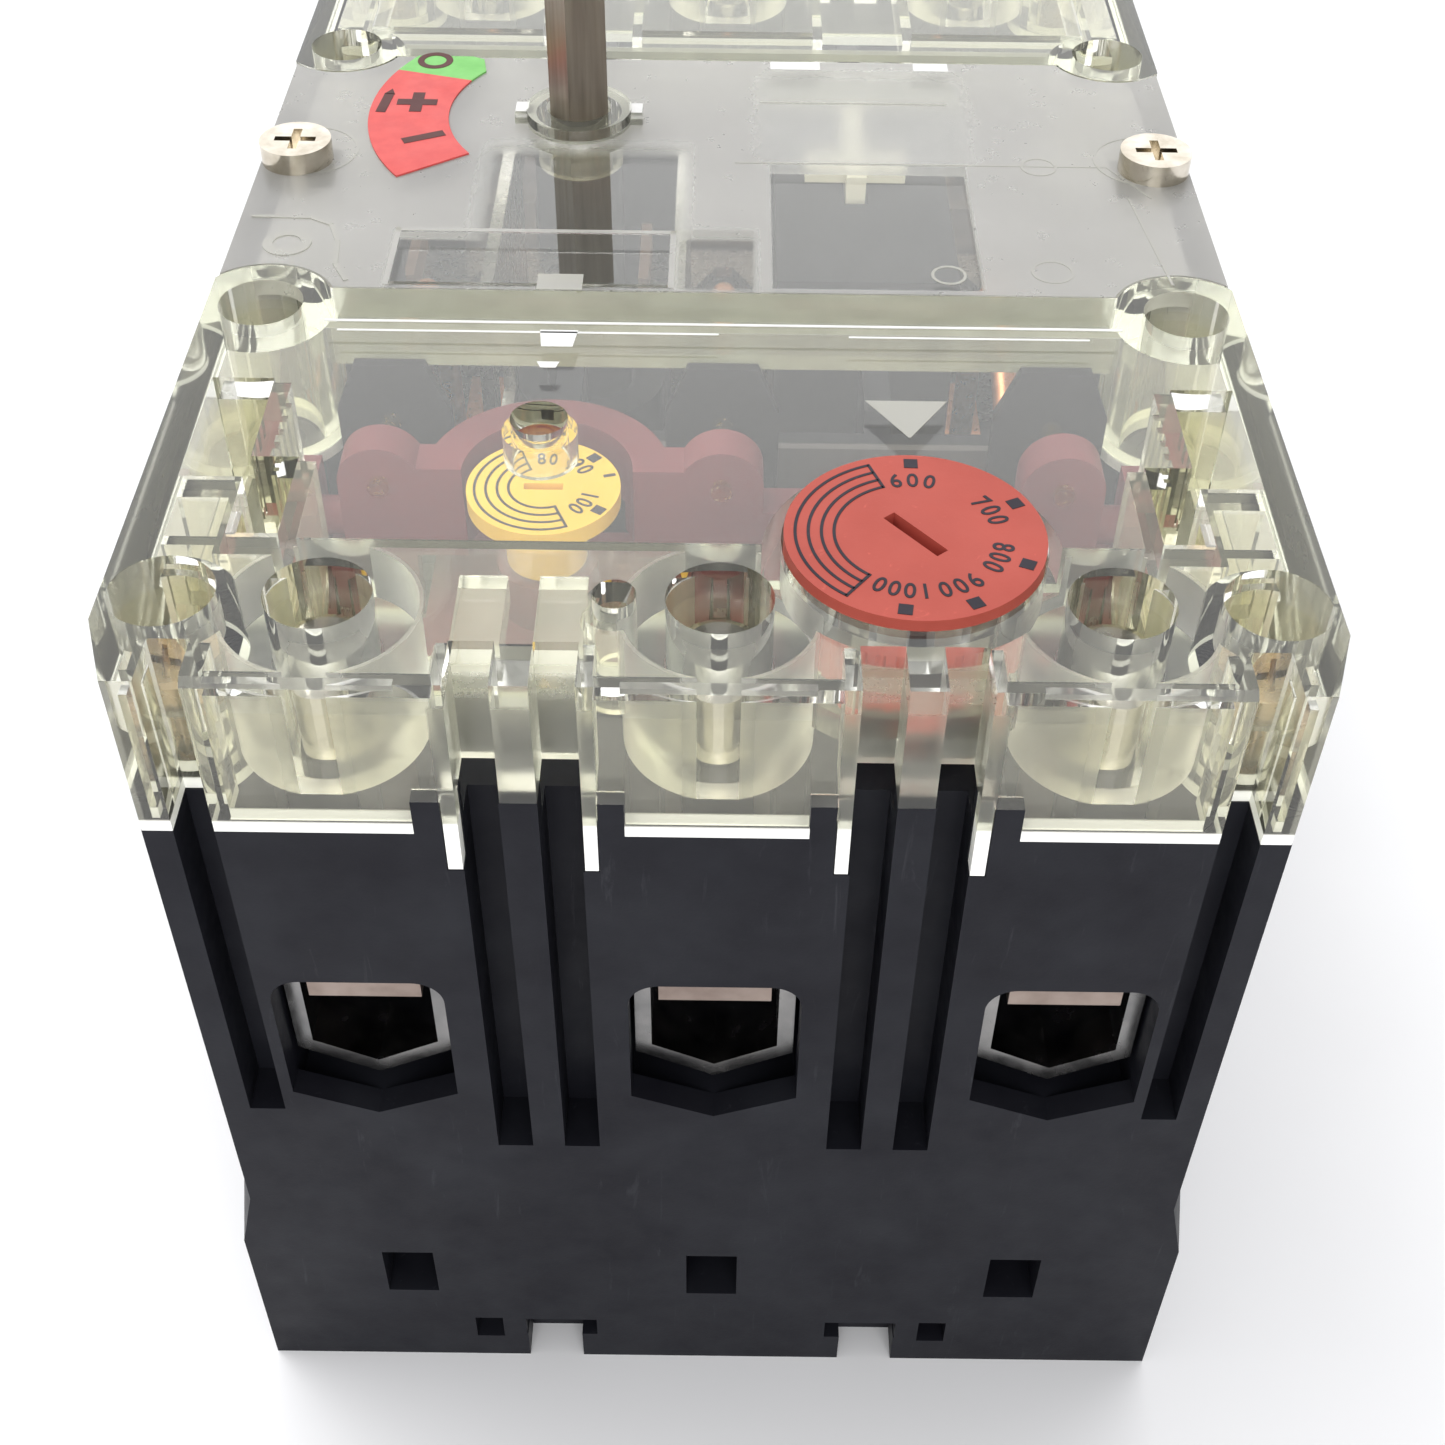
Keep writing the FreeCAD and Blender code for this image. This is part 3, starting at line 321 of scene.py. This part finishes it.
def lower_edge(s):
    """The rough lower edges of the blocks and tongues, where light gathers."""
    return s.math("SUBTRACT", 1.0, s.above(s.axes()[2], EDGE_LEVEL, 0.15))


def thick_walls(s):
    """The rear wall and the side walls of a cover, seen along their depth, and its short ribs."""
    x, y, z = s.axes()
    rear = s.math("MULTIPLY", s.between(s.math("ABSOLUTE", y), 26.4, 32.1),
                  s.between(x, -40.2, 40.2))
    sides = s.above(s.math("ABSOLUTE", x), 49.4)
    under = s.math("SUBTRACT", 1.0, s.above(z, 109.9, 0.05))
    ribs = s.either(*[s.inside((side * 17.0 - 5.8, side * 17.0 + 5.8),
                               (end * 75.3 - 5.3, end * 75.3 + 5.3))
                      for side in (-1, 1) for end in (-1, 1)])
    ribs = s.math("MULTIPLY", s.math("MULTIPLY", ribs, s.between(z, 103.5, 106.5)), 0.6)
    return s.math("MULTIPLY", under, s.either(rear, s.math("MULTIPLY", sides, 0.45), ribs))


def plate_milk(s):
    """The matt front plate: clear about the drive and over the switch, cloudy elsewhere."""
    clear = s.either(s.inside((-35.2, -5.2), (-26.2, -14.6), soft=0.3),
                     s.inside((5.0, 27.0), (-25.6, 0.6)),
                     s.inside((-5.2, 3.4), (-26.2, -13.8), soft=0.5),
                     s.inside((-27.0, -4.4), (-16.0, 5.0), soft=1.2))
    thin = s.inside((4.0, 28.0), (0.6, 24.0), soft=1.5)
    cover = s.math("MAXIMUM", clear, s.math("MULTIPLY", thin, 0.45))
    return s.math("SUBTRACT", 1.0, s.math("MULTIPLY", cover, 0.98))


def trip_bay_painted_light(s):
    """The inner walls of the base about the trip unit, painted a little paler than its outside: painted
    light for the light that the clear cover scatters onto them.
    """
    return s.math("MULTIPLY", s.inside((-41.0, 41.0), (-60.0, -27.0)),
                  s.between(s.axes()[2], 30.0, 91.8))


def assign(material, *names):
    """Give carried-over CAD nodes a material."""
    for name in names:
        slots = NODES[name].material_slots
        for slot in slots:
            slot.material = material
        if not slots:
            NODES[name].data.materials.append(material)


def each(*stems):
    """Node names of the three poles."""
    return [stem + "_" + side for stem in stems for side in SIDES]


CLEAR = clear_plastic("clear_polycarbonate", frost=tube_frost, olive=thick_walls, white=lower_edge)
MILKY = clear_plastic("frosted_polycarbonate", milk=plate_milk)
# The housing carries painted light: its inner walls about the trip unit are painted paler for the light
# the clear cover scatters onto them.
HOUSING = moulding("housing_moulding", (0.009, 0.009, 0.013), (0.017, 0.018, 0.023), gloss=0.11,
                   inner=trip_bay_painted_light)
BLACK = moulding("charcoal_moulding", (0.009, 0.009, 0.013), (0.017, 0.018, 0.023), gloss=0.11)
MAROON = moulding("maroon_moulding", (0.165, 0.037, 0.045), (0.22, 0.054, 0.062), 0.4, 0.6)
GREY = moulding("dark_grey_moulding", (0.014, 0.014, 0.018), (0.024, 0.024, 0.028), gloss=0.1,
                tooth=0.004, scuff=0.05)
CREAM = moulding("cream_moulding", (0.72, 0.68, 0.55), (0.80, 0.76, 0.62), 0.35, 0.5)
FIBRE = moulding("fibre_board", (0.42, 0.25, 0.18), (0.52, 0.33, 0.24), 0.6, 0.8)
NICKEL = metal("nickel_plate", (0.50, 0.45, 0.36), (0.74, 0.69, 0.60), 0.12, 0.26, 2.4)
BRONZE = metal("bronze_plate", (0.30, 0.21, 0.12), (0.46, 0.35, 0.23), 0.2, 0.36, 3.0)
ZINC = metal("zinc_plate", (0.52, 0.50, 0.46), (0.70, 0.68, 0.63), 0.14, 0.28, 4.0)
CLAMP = metal("clamp_steel", (0.20, 0.20, 0.20), (0.34, 0.33, 0.32), 0.16, 0.30, 5.0)
STEEL = metal("bright_steel", (0.45, 0.44, 0.42), (0.62, 0.60, 0.57), 0.2, 0.4, 2.5)
SHAFT = metal("shaft_steel", (0.27, 0.23, 0.195), (0.42, 0.37, 0.31), 0.32, 0.5, 1.2,
              stretch=(1, 1, 0.06), depth=0.015)
COPPER = metal("copper", (0.62, 0.25, 0.12), (0.85, 0.42, 0.24), 0.25, 0.42, 1.5)
TINNED = metal("tinned_copper", (0.28, 0.22, 0.19), (0.38, 0.31, 0.27), 0.35, 0.5, 3.0)
SILVER = metal("silver_alloy", (0.66, 0.65, 0.61), (0.82, 0.80, 0.76), 0.25, 0.45, 1.0)
BRASS = metal("brass", (0.62, 0.44, 0.16), (0.86, 0.66, 0.30), 0.15, 0.3, 1.0)
DARK_STRIP = moulding("oxidised_strip", (0.010, 0.010, 0.012), (0.018, 0.018, 0.021), 0.4, 0.6,
                      gloss=0.05)
YELLOW = moulding("yellow_dial", (0.84, 0.51, 0.055), (0.90, 0.58, 0.08), 0.4, 0.55)
RED = moulding("red_dial", (0.40, 0.072, 0.052), (0.47, 0.092, 0.068), 0.4, 0.55)
INK_DARK = moulding("dark_ink", (0.022, 0.018, 0.026), (0.035, 0.03, 0.04), 0.45, 0.6)
INK_LABEL = moulding("label_ink", (0.09, 0.035, 0.035), (0.12, 0.05, 0.045), 0.5, 0.65)
MATT_CLEAR = clear_plastic("matt_polycarbonate", milk=lambda s: s.above(s.axes()[2], -100.0))
# White for the moulded marks, and also for the painted highlights at the cover's rear.
WHITE_MARK_AND_HIGHLIGHT = moulding("white_mark_and_painted_highlight", (0.80, 0.80, 0.78), (0.86, 0.86, 0.84), 0.4, 0.5)


def label_print():
    """The label's green and red fields, parted by a slanting line."""
    s = Shader("label_print")
    s.put(Specular_IOR_Level=0.4)
    lean = s.new("ShaderNodeVectorMath", operation="DOT_PRODUCT")
    s.link(s.stretch((1, 1, 1)), lean.inputs[0])
    lean.inputs[1].default_value = (0.272, 0.962, 0.0)
    cloud = s.ramp(s.noise(2.5, 5.0, 0.6), (0.35, 0.0), (0.7, 1.0))
    red = s.mix(cloud, (0.62, 0.075, 0.07), (0.70, 0.10, 0.09))
    green = s.mix(cloud, (0.17, 0.50, 0.12), (0.21, 0.57, 0.15))
    s.color(s.mix(s.above(lean.outputs["Value"], 10.84, 0.05), red, green))
    s.roughness(s.ramp(s.noise(4.0, 4.0), (0.3, 0.42), (0.7, 0.58)))
    s.bump(s.noise(0.5, 3.0), 0.01, 0.4)
    return s.material


LABEL_PRINT = label_print()

assign(CLEAR, "load_cover", "line_cover", "shaft_collar")
assign(MILKY, "front_plate")
assign(HOUSING, "base_housing")
assign(BLACK, "crossbar", "crank_drum")
assign(MAROON, "trip_bar", "trip_unit_frame")
assign(GREY, "auxiliary_switch", "drive_slider")
assign(CREAM, "auxiliary_plunger")
assign(FIBRE, "arc_chute_sides")
assign(NICKEL, "plate_screws")
assign(BRONZE, "load_cover_screws", "line_cover_screws")
assign(ZINC, *each("load_screw", "line_screw"))
assign(CLAMP, *each("load_cage", "line_cage"))
assign(STEEL, "mechanism_frame", "return_springs", *each("magnet_yoke", "armature", "arc_plates"))
assign(SHAFT, "drive_shaft")
assign(COPPER, "flexible_braids", *each("contact_arm"))
assign(TINNED, *each("load_bar", "line_bar"))
assign(SILVER, "fixed_contacts", "moving_contacts")
assign(BRASS, "calibration_screws")
assign(DARK_STRIP, *each("bimetal"))
assign(YELLOW, "thermal_dial")
assign(RED, "magnetic_dial")
assign(LABEL_PRINT, "position_label")


# ---------------------------------------------------------------- printed and engraved marks, and painted highlights

def strip(bm, left, right, low, high, ring=False):
    """A closed slab between two plan lines of equal length, in millimetres; a ring has no ends."""
    rows = [[bm.verts.new(mm(x, y, z)) for x, y in line]
            for line in (left, right) for z in (low, high)]
    left_low, left_high, right_low, right_high = rows
    last = len(left) - 1
    for i in range(last):
        bm.faces.new((left_high[i], left_high[i + 1], right_high[i + 1], right_high[i]))
        bm.faces.new((left_low[i + 1], left_low[i], right_low[i], right_low[i + 1]))
        bm.faces.new((left_low[i], left_low[i + 1], left_high[i + 1], left_high[i]))
        bm.faces.new((right_low[i + 1], right_low[i], right_high[i], right_high[i + 1]))
    for i in (() if ring else (0, last)):
        bm.faces.new((left_low[i], left_high[i], right_high[i], right_low[i]))


def polar(centre, radius, angle):
    """The plan point at a radius and an angle in degrees."""
    turn = math.radians(angle)
    return (centre[0] + radius * math.cos(turn), centre[1] + radius * math.sin(turn))


def arc(bm, centre, inner, outer, start, end, low, high, steps=36):
    """A curved slab between two radii; a whole ring when it spans 360 degrees."""
    angles = [start + (end - start) * i / steps for i in range(steps + 1)]
    strip(bm, [polar(centre, inner, a) for a in angles], [polar(centre, outer, a) for a in angles],
          low, high, ring=end - start == 360)


def bar(bm, start, end, width, low, high):
    """A straight slab between two plan points."""
    run = Vector((end[0] - start[0], end[1] - start[1]))
    side = Vector((-run.y, run.x)).normalized() * width / 2
    strip(bm, [(start[0] + side.x, start[1] + side.y), (end[0] + side.x, end[1] + side.y)],
          [(start[0] - side.x, start[1] - side.y), (end[0] - side.x, end[1] - side.y)], low, high)


def glyph(bm, text, centre, radius, angle, height, low, thick):
    """One character whose top points away from a centre."""
    curve = bpy.data.curves.new("glyph", "FONT")
    curve.body = text
    curve.size = height * 1.38 * MM
    curve.extrude = thick / 2 * MM
    curve.offset = 0.03 * MM
    curve.align_x = "CENTER"
    curve.align_y = "CENTER"
    holder = bpy.data.objects.new("glyph", curve)
    mesh = bpy.data.meshes.new_from_object(holder)
    x, y = polar(centre, radius, angle)
    turn = Matrix.Rotation(math.radians(angle - 90), 4, "Z")
    place = Matrix.Translation(mm(x, y, low + thick / 2)) @ turn
    mesh.transform(place @ Matrix.Diagonal((0.82, 1, 1, 1)))
    bm.from_mesh(mesh)
    bpy.data.objects.remove(holder)
    bpy.data.curves.remove(curve)
    bpy.data.meshes.remove(mesh)


def number(bm, text, centre, radius, middle, pitch, height, low):
    """A number of a dial, read from outside, one character after another."""
    for index, char in enumerate(text):
        angle = middle + (len(text) - 1) / 2 * pitch - index * pitch
        glyph(bm, char, centre, radius, angle, height, low, INK)


def piece(name, bm, material, body):
    """Turn a bmesh into a named piece that rides on a body."""
    bmesh.ops.remove_doubles(bm, verts=bm.verts, dist=1e-7)
    bmesh.ops.recalc_face_normals(bm, faces=bm.faces)
    mesh = bpy.data.meshes.new(name)
    bm.to_mesh(mesh)
    bm.free()
    mesh.materials.append(material)
    item = bpy.data.objects.new(name, mesh)
    bpy.context.scene.collection.objects.link(item)
    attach(item, body)


def top_of(node):
    """The level of a node's top in millimetres."""
    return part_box(node)[1][2] / MM


def middle_of(node):
    """The middle of a node's plan in millimetres."""
    low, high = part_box(node)
    return ((low[0] + high[0]) / 2 / MM, (low[1] + high[1]) / 2 / MM)


def print_magnetic_dial():
    """Scale of the red dial: ticks, numbers and the shut end of the range."""
    centre = middle_of("magnetic_dial")
    low = top_of("magnetic_dial")
    high = low + INK
    bm = bmesh.new()
    for radius in (7.1, 8.2, 9.35, 10.5):
        arc(bm, centre, radius - 0.14, radius + 0.14, 110.3, 233.0, low, high, 48)
    for angle in (110.3, 233.0):
        bar(bm, polar(centre, 6.96, angle), polar(centre, 10.64, angle), 0.28, low, high)
    for angle in (88.8, 26.2, -22.9, -63.9, -98.3):
        bar(bm, polar(centre, 9.55, angle), polar(centre, 10.85, angle), 1.25, low, high)
    numbers = (("600", 88.4, 11.4), ("700", 26.8, 10.7), ("800", -23.5, 10.8), ("900", -63.8, 10.8),
               ("1000", -102.0, 9.8))
    for text, middle, pitch in numbers:
        number(bm, text, centre, 7.6, middle, pitch, 1.95, low)
    piece("magnetic_dial_scale", bm, INK_DARK, "magnetic_dial")


def print_thermal_dial():
    """Scale of the yellow dial under the cover."""
    centre = middle_of("thermal_dial")
    low = top_of("thermal_dial")
    high = low + INK
    bm = bmesh.new()
    for radius in (3.4, 4.5, 5.6, 6.7):
        arc(bm, centre, radius - 0.13, radius + 0.13, 118.0, 293.0, low, high, 48)
    for angle in (118.0, 293.0):
        bar(bm, polar(centre, 3.27, angle), polar(centre, 6.83, angle), 0.26, low, high)
    for angle in (88.0, 45.0, -33.0):
        bar(bm, polar(centre, 6.0, angle), polar(centre, 7.2, angle), 1.1, low, high)
    bar(bm, polar(centre, 6.0, 16.5), polar(centre, 7.2, 16.5), 0.4, low, high)
    for text, middle, pitch in (("80", 88.0, 17.0), ("90", 43.0, 15.0), ("100", -31.0, 14.5)):
        number(bm, text, centre, 4.7, middle, pitch, 1.8, low)
    piece("thermal_dial_scale", bm, INK_DARK, "thermal_dial")


def print_label():
    """The signs on the position label: O, tripped and I, and the arrow beside them."""
    low = top_of("position_label")
    high = low + INK
    bm = bmesh.new()
    arc(bm, (-35.5, 25.0), 1.35, 2.15, 0.0, 360.0, low, high, 40)
    cross = (-36.4, 14.1)
    bar(bm, (cross[0] - 2.35, cross[1]), (cross[0] + 2.35, cross[1]), 1.4, low, high)
    for side in (-1, 1):
        bar(bm, (cross[0], cross[1] + side * 0.7), (cross[0], cross[1] + side * 2.4), 1.4, low, high)
    bar(bm, (-40.4, 11.5), (-39.9, 16.2), 1.15, low, high)
    strip(bm, [(-40.5, 16.1), (-39.7, 17.4)], [(-39.25, 16.0), (-39.3, 16.1)], low, high)
    bar(bm, (-36.9, 4.5), (-32.4, 6.6), 1.3, low, high)
    piece("position_label_signs", bm, INK_LABEL, "housing")


def engrave_cover():
    """The pointer beside the red dial, the sight marks above the yellow one and two thin white raised
    lines at the rear, which are painted highlights for the reflections of the cover's rear fillets.
    """
    top = top_of("load_cover")
    bm = bmesh.new()
    strip(bm, [(13.6, -45.5), (21.4, -45.5)], [(17.4, -51.4), (17.6, -51.4)], top, top + INK)
    piece("setting_pointer", bm, MATT_CLEAR, "housing")
    bm = bmesh.new()
    strip(bm, [(-18.3, -34.0), (-14.5, -34.0)], [(-18.0, -36.9), (-14.9, -36.9)], top, top + MARK)
    strip(bm, [(-18.2, -39.6), (-16.0, -39.6)], [(-17.8, -40.6), (-16.3, -40.6)], top, top + INK)
    piece("sight_marks", bm, WHITE_MARK_AND_HIGHLIGHT, "housing")
    # Painted highlights: thin white lines on the top at the rear, standing for the reflections of the
    # cover's rear fillets.
    bm = bmesh.new()
    bar(bm, (-40.0, -32.7), (40.0, -32.7), 0.32, top, top + BEAD)
    bar(bm, (-38.5, -34.4), (-0.5, -34.4), 0.26, top, top + MARK)
    bar(bm, (12.5, -34.6), (36.5, -34.6), 0.26, top, top + MARK)
    piece("rear_painted_highlights", bm, WHITE_MARK_AND_HIGHLIGHT, "housing")


def engrave_plate():
    """Ejector rings, bead lines, tabs and the ear's outline on the front plate, and the lugs' faces."""
    top = top_of("front_plate")
    high = top + INK
    bm = bmesh.new()
    for centre, radius in (((34.3, -21.7), 2.1), ((35.3, 0.8), 1.9), ((23.4, -22.6), 1.7)):
        arc(bm, centre, radius - 0.16, radius + 0.16, 0, 360, top, high)
    arc(bm, (-46.3, -17.9), 1.5, 2.6, 0, 360, top, top + RIM)
    ear = [(-51.0, -12.4), (-44.6, -12.6), (-42.2, -14.0), (-41.0, -17.5), (-40.6, -22.0),
           (-39.0, -25.2)]
    for start, end in zip(ear, ear[1:]):
        bar(bm, start, end, 0.5, top, top + RIM)
    bar(bm, (1.0, 0.9), (43.0, 0.9), 0.25, top, high)
    bar(bm, (4.0, 15.6), (26.0, 15.6), 0.25, top, high)
    bar(bm, (43.0, 0.9), (47.0, -6.0), 0.25, top, high)
    bar(bm, (44.5, -6.0), (46.5, -24.0), 0.3, top, high)
    for side in (-1, 1):
        arc(bm, (side * 47.4, 2.4), 5.4, 5.75, 180 - side * 90, 360 - side * 90, top, high)
    strip(bm, [(-19.3, -23.4), (-14.6, -23.4)], [(-19.3, -26.4), (-14.6, -26.4)], top, high)
    for start, end in (((-35.2, -14.7), (-5.2, -14.7)), ((-34.9, -14.4), (-34.9, -25.8)),
                       ((-5.5, -14.4), (-5.5, -25.8))):
        bar(bm, start, end, 0.6, top, high)
    piece("plate_relief", bm, MATT_CLEAR, "housing")
    bm = bmesh.new()
    strip(bm, [(5.3, 26.3), (11.3, 26.3)], [(5.3, 24.3), (11.3, 24.3)], top, high)
    strip(bm, [(22.7, 26.3), (26.9, 26.3)], [(22.7, 24.3), (26.9, 24.3)], top, high)
    piece("plate_tabs", bm, WHITE_MARK_AND_HIGHLIGHT, "housing")
    collar_x, collar_y = middle_of("shaft_collar")
    level = top + 1.15
    bm = bmesh.new()
    for side in (-1, 1):
        x = collar_x + side * 6.6
        y = collar_y + 0.6
        strip(bm, [(x - 0.75, y - 1.1), (x + 0.75, y - 1.1)],
              [(x - 0.75, y + 1.1), (x + 0.75, y + 1.1)], level, level + BEAD)
    piece("collar_lug_faces", bm, WHITE_MARK_AND_HIGHLIGHT, "housing")


# ---------------------------------------------------------------- stage, light and camera

def build_floor():
    """A plain pale floor."""
    bpy.ops.mesh.primitive_plane_add(size=3.0, location=(0, 0, 0))
    floor = bpy.context.object
    floor.name = "floor"
    s = Shader("pale_floor")
    s.put(Specular_IOR_Level=0.25)
    s.color(s.ramp(s.noise(60.0, 3.0), (0.3, (0.92, 0.92, 0.93)), (0.7, (0.95, 0.95, 0.96))))
    s.roughness(s.ramp(s.noise(20.0, 3.0), (0.3, 0.55), (0.7, 0.7)))
    floor.data.materials.append(s.material)


def area_light(name, place, target, size, watts):
    """A square soft light that faces a point."""
    data = bpy.data.lights.new(name, "AREA")
    data.shape = "SQUARE"
    data.size = size
    data.energy = watts
    lamp = bpy.data.objects.new(name, data)
    lamp.location = place
    lamp.rotation_euler = (Vector(target) - Vector(place)).to_track_quat("-Z", "Y").to_euler()
    bpy.context.scene.collection.objects.link(lamp)


def build_light():
    """A bright overcast room: an even dome with a soft bright patch high at the far side."""
    world = bpy.data.worlds.new("studio")
    bpy.context.scene.world = world
    world.use_nodes = True
    nodes = world.node_tree.nodes
    links = world.node_tree.links
    direction = nodes.new("ShaderNodeTexCoord").outputs["Generated"]
    toward = nodes.new("ShaderNodeVectorMath")
    toward.operation = "DOT_PRODUCT"
    height = math.radians(PATCH_HEIGHT)
    toward.inputs[1].default_value = (0.0, math.cos(height), math.sin(height))
    links.new(direction, toward.inputs[0])
    ramp = nodes.new("ShaderNodeMapRange")
    ramp.interpolation_type = "SMOOTHSTEP"
    ramp.inputs["From Min"].default_value = math.cos(math.radians(PATCH_OUTER))
    ramp.inputs["From Max"].default_value = math.cos(math.radians(PATCH_INNER))
    ramp.inputs["To Min"].default_value = DOME_LEVEL
    ramp.inputs["To Max"].default_value = PATCH_LEVEL
    links.new(toward.outputs["Value"], ramp.inputs["Value"])
    background = nodes["Background"]
    background.inputs["Color"].default_value = (0.985, 0.985, 1.0, 1)
    links.new(ramp.outputs["Result"], background.inputs["Strength"])
    area_light("key", KEY_PLACE, KEY_TARGET, KEY_SIZE, KEY_WATTS)
    area_light("fill", FILL_PLACE, FILL_TARGET, FILL_SIZE, FILL_WATTS)


def build_camera():
    """The camera at the photograph's viewing angle."""
    pitch = math.radians(CAMERA_PITCH)
    yaw = math.radians(CAMERA_YAW)
    roll = math.radians(CAMERA_ROLL)
    level = math.cos(pitch)
    forward = Vector((math.sin(yaw) * level, math.cos(yaw) * level, -math.sin(pitch)))
    right = Vector((math.cos(yaw), -math.sin(yaw), 0))
    up = right.cross(forward)
    right_rolled = right * math.cos(roll) + up * math.sin(roll)
    up_rolled = right_rolled.cross(forward)
    data = bpy.data.cameras.new("camera")
    data.sensor_width = CAMERA_SENSOR
    data.lens = CAMERA_LENS
    data.clip_start = 0.01
    camera = bpy.data.objects.new("camera", data)
    axes = Matrix((right_rolled, up_rolled, -forward)).transposed().to_4x4()
    camera.matrix_world = Matrix.Translation(mm(*CAMERA_PLACE)) @ axes
    bpy.context.scene.collection.objects.link(camera)
    bpy.context.scene.camera = camera


print_magnetic_dial()
print_thermal_dial()
print_label()
engrave_cover()
engrave_plate()
build_floor()
build_light()
build_camera()
bpy.context.scene.view_settings.view_transform = "Standard"
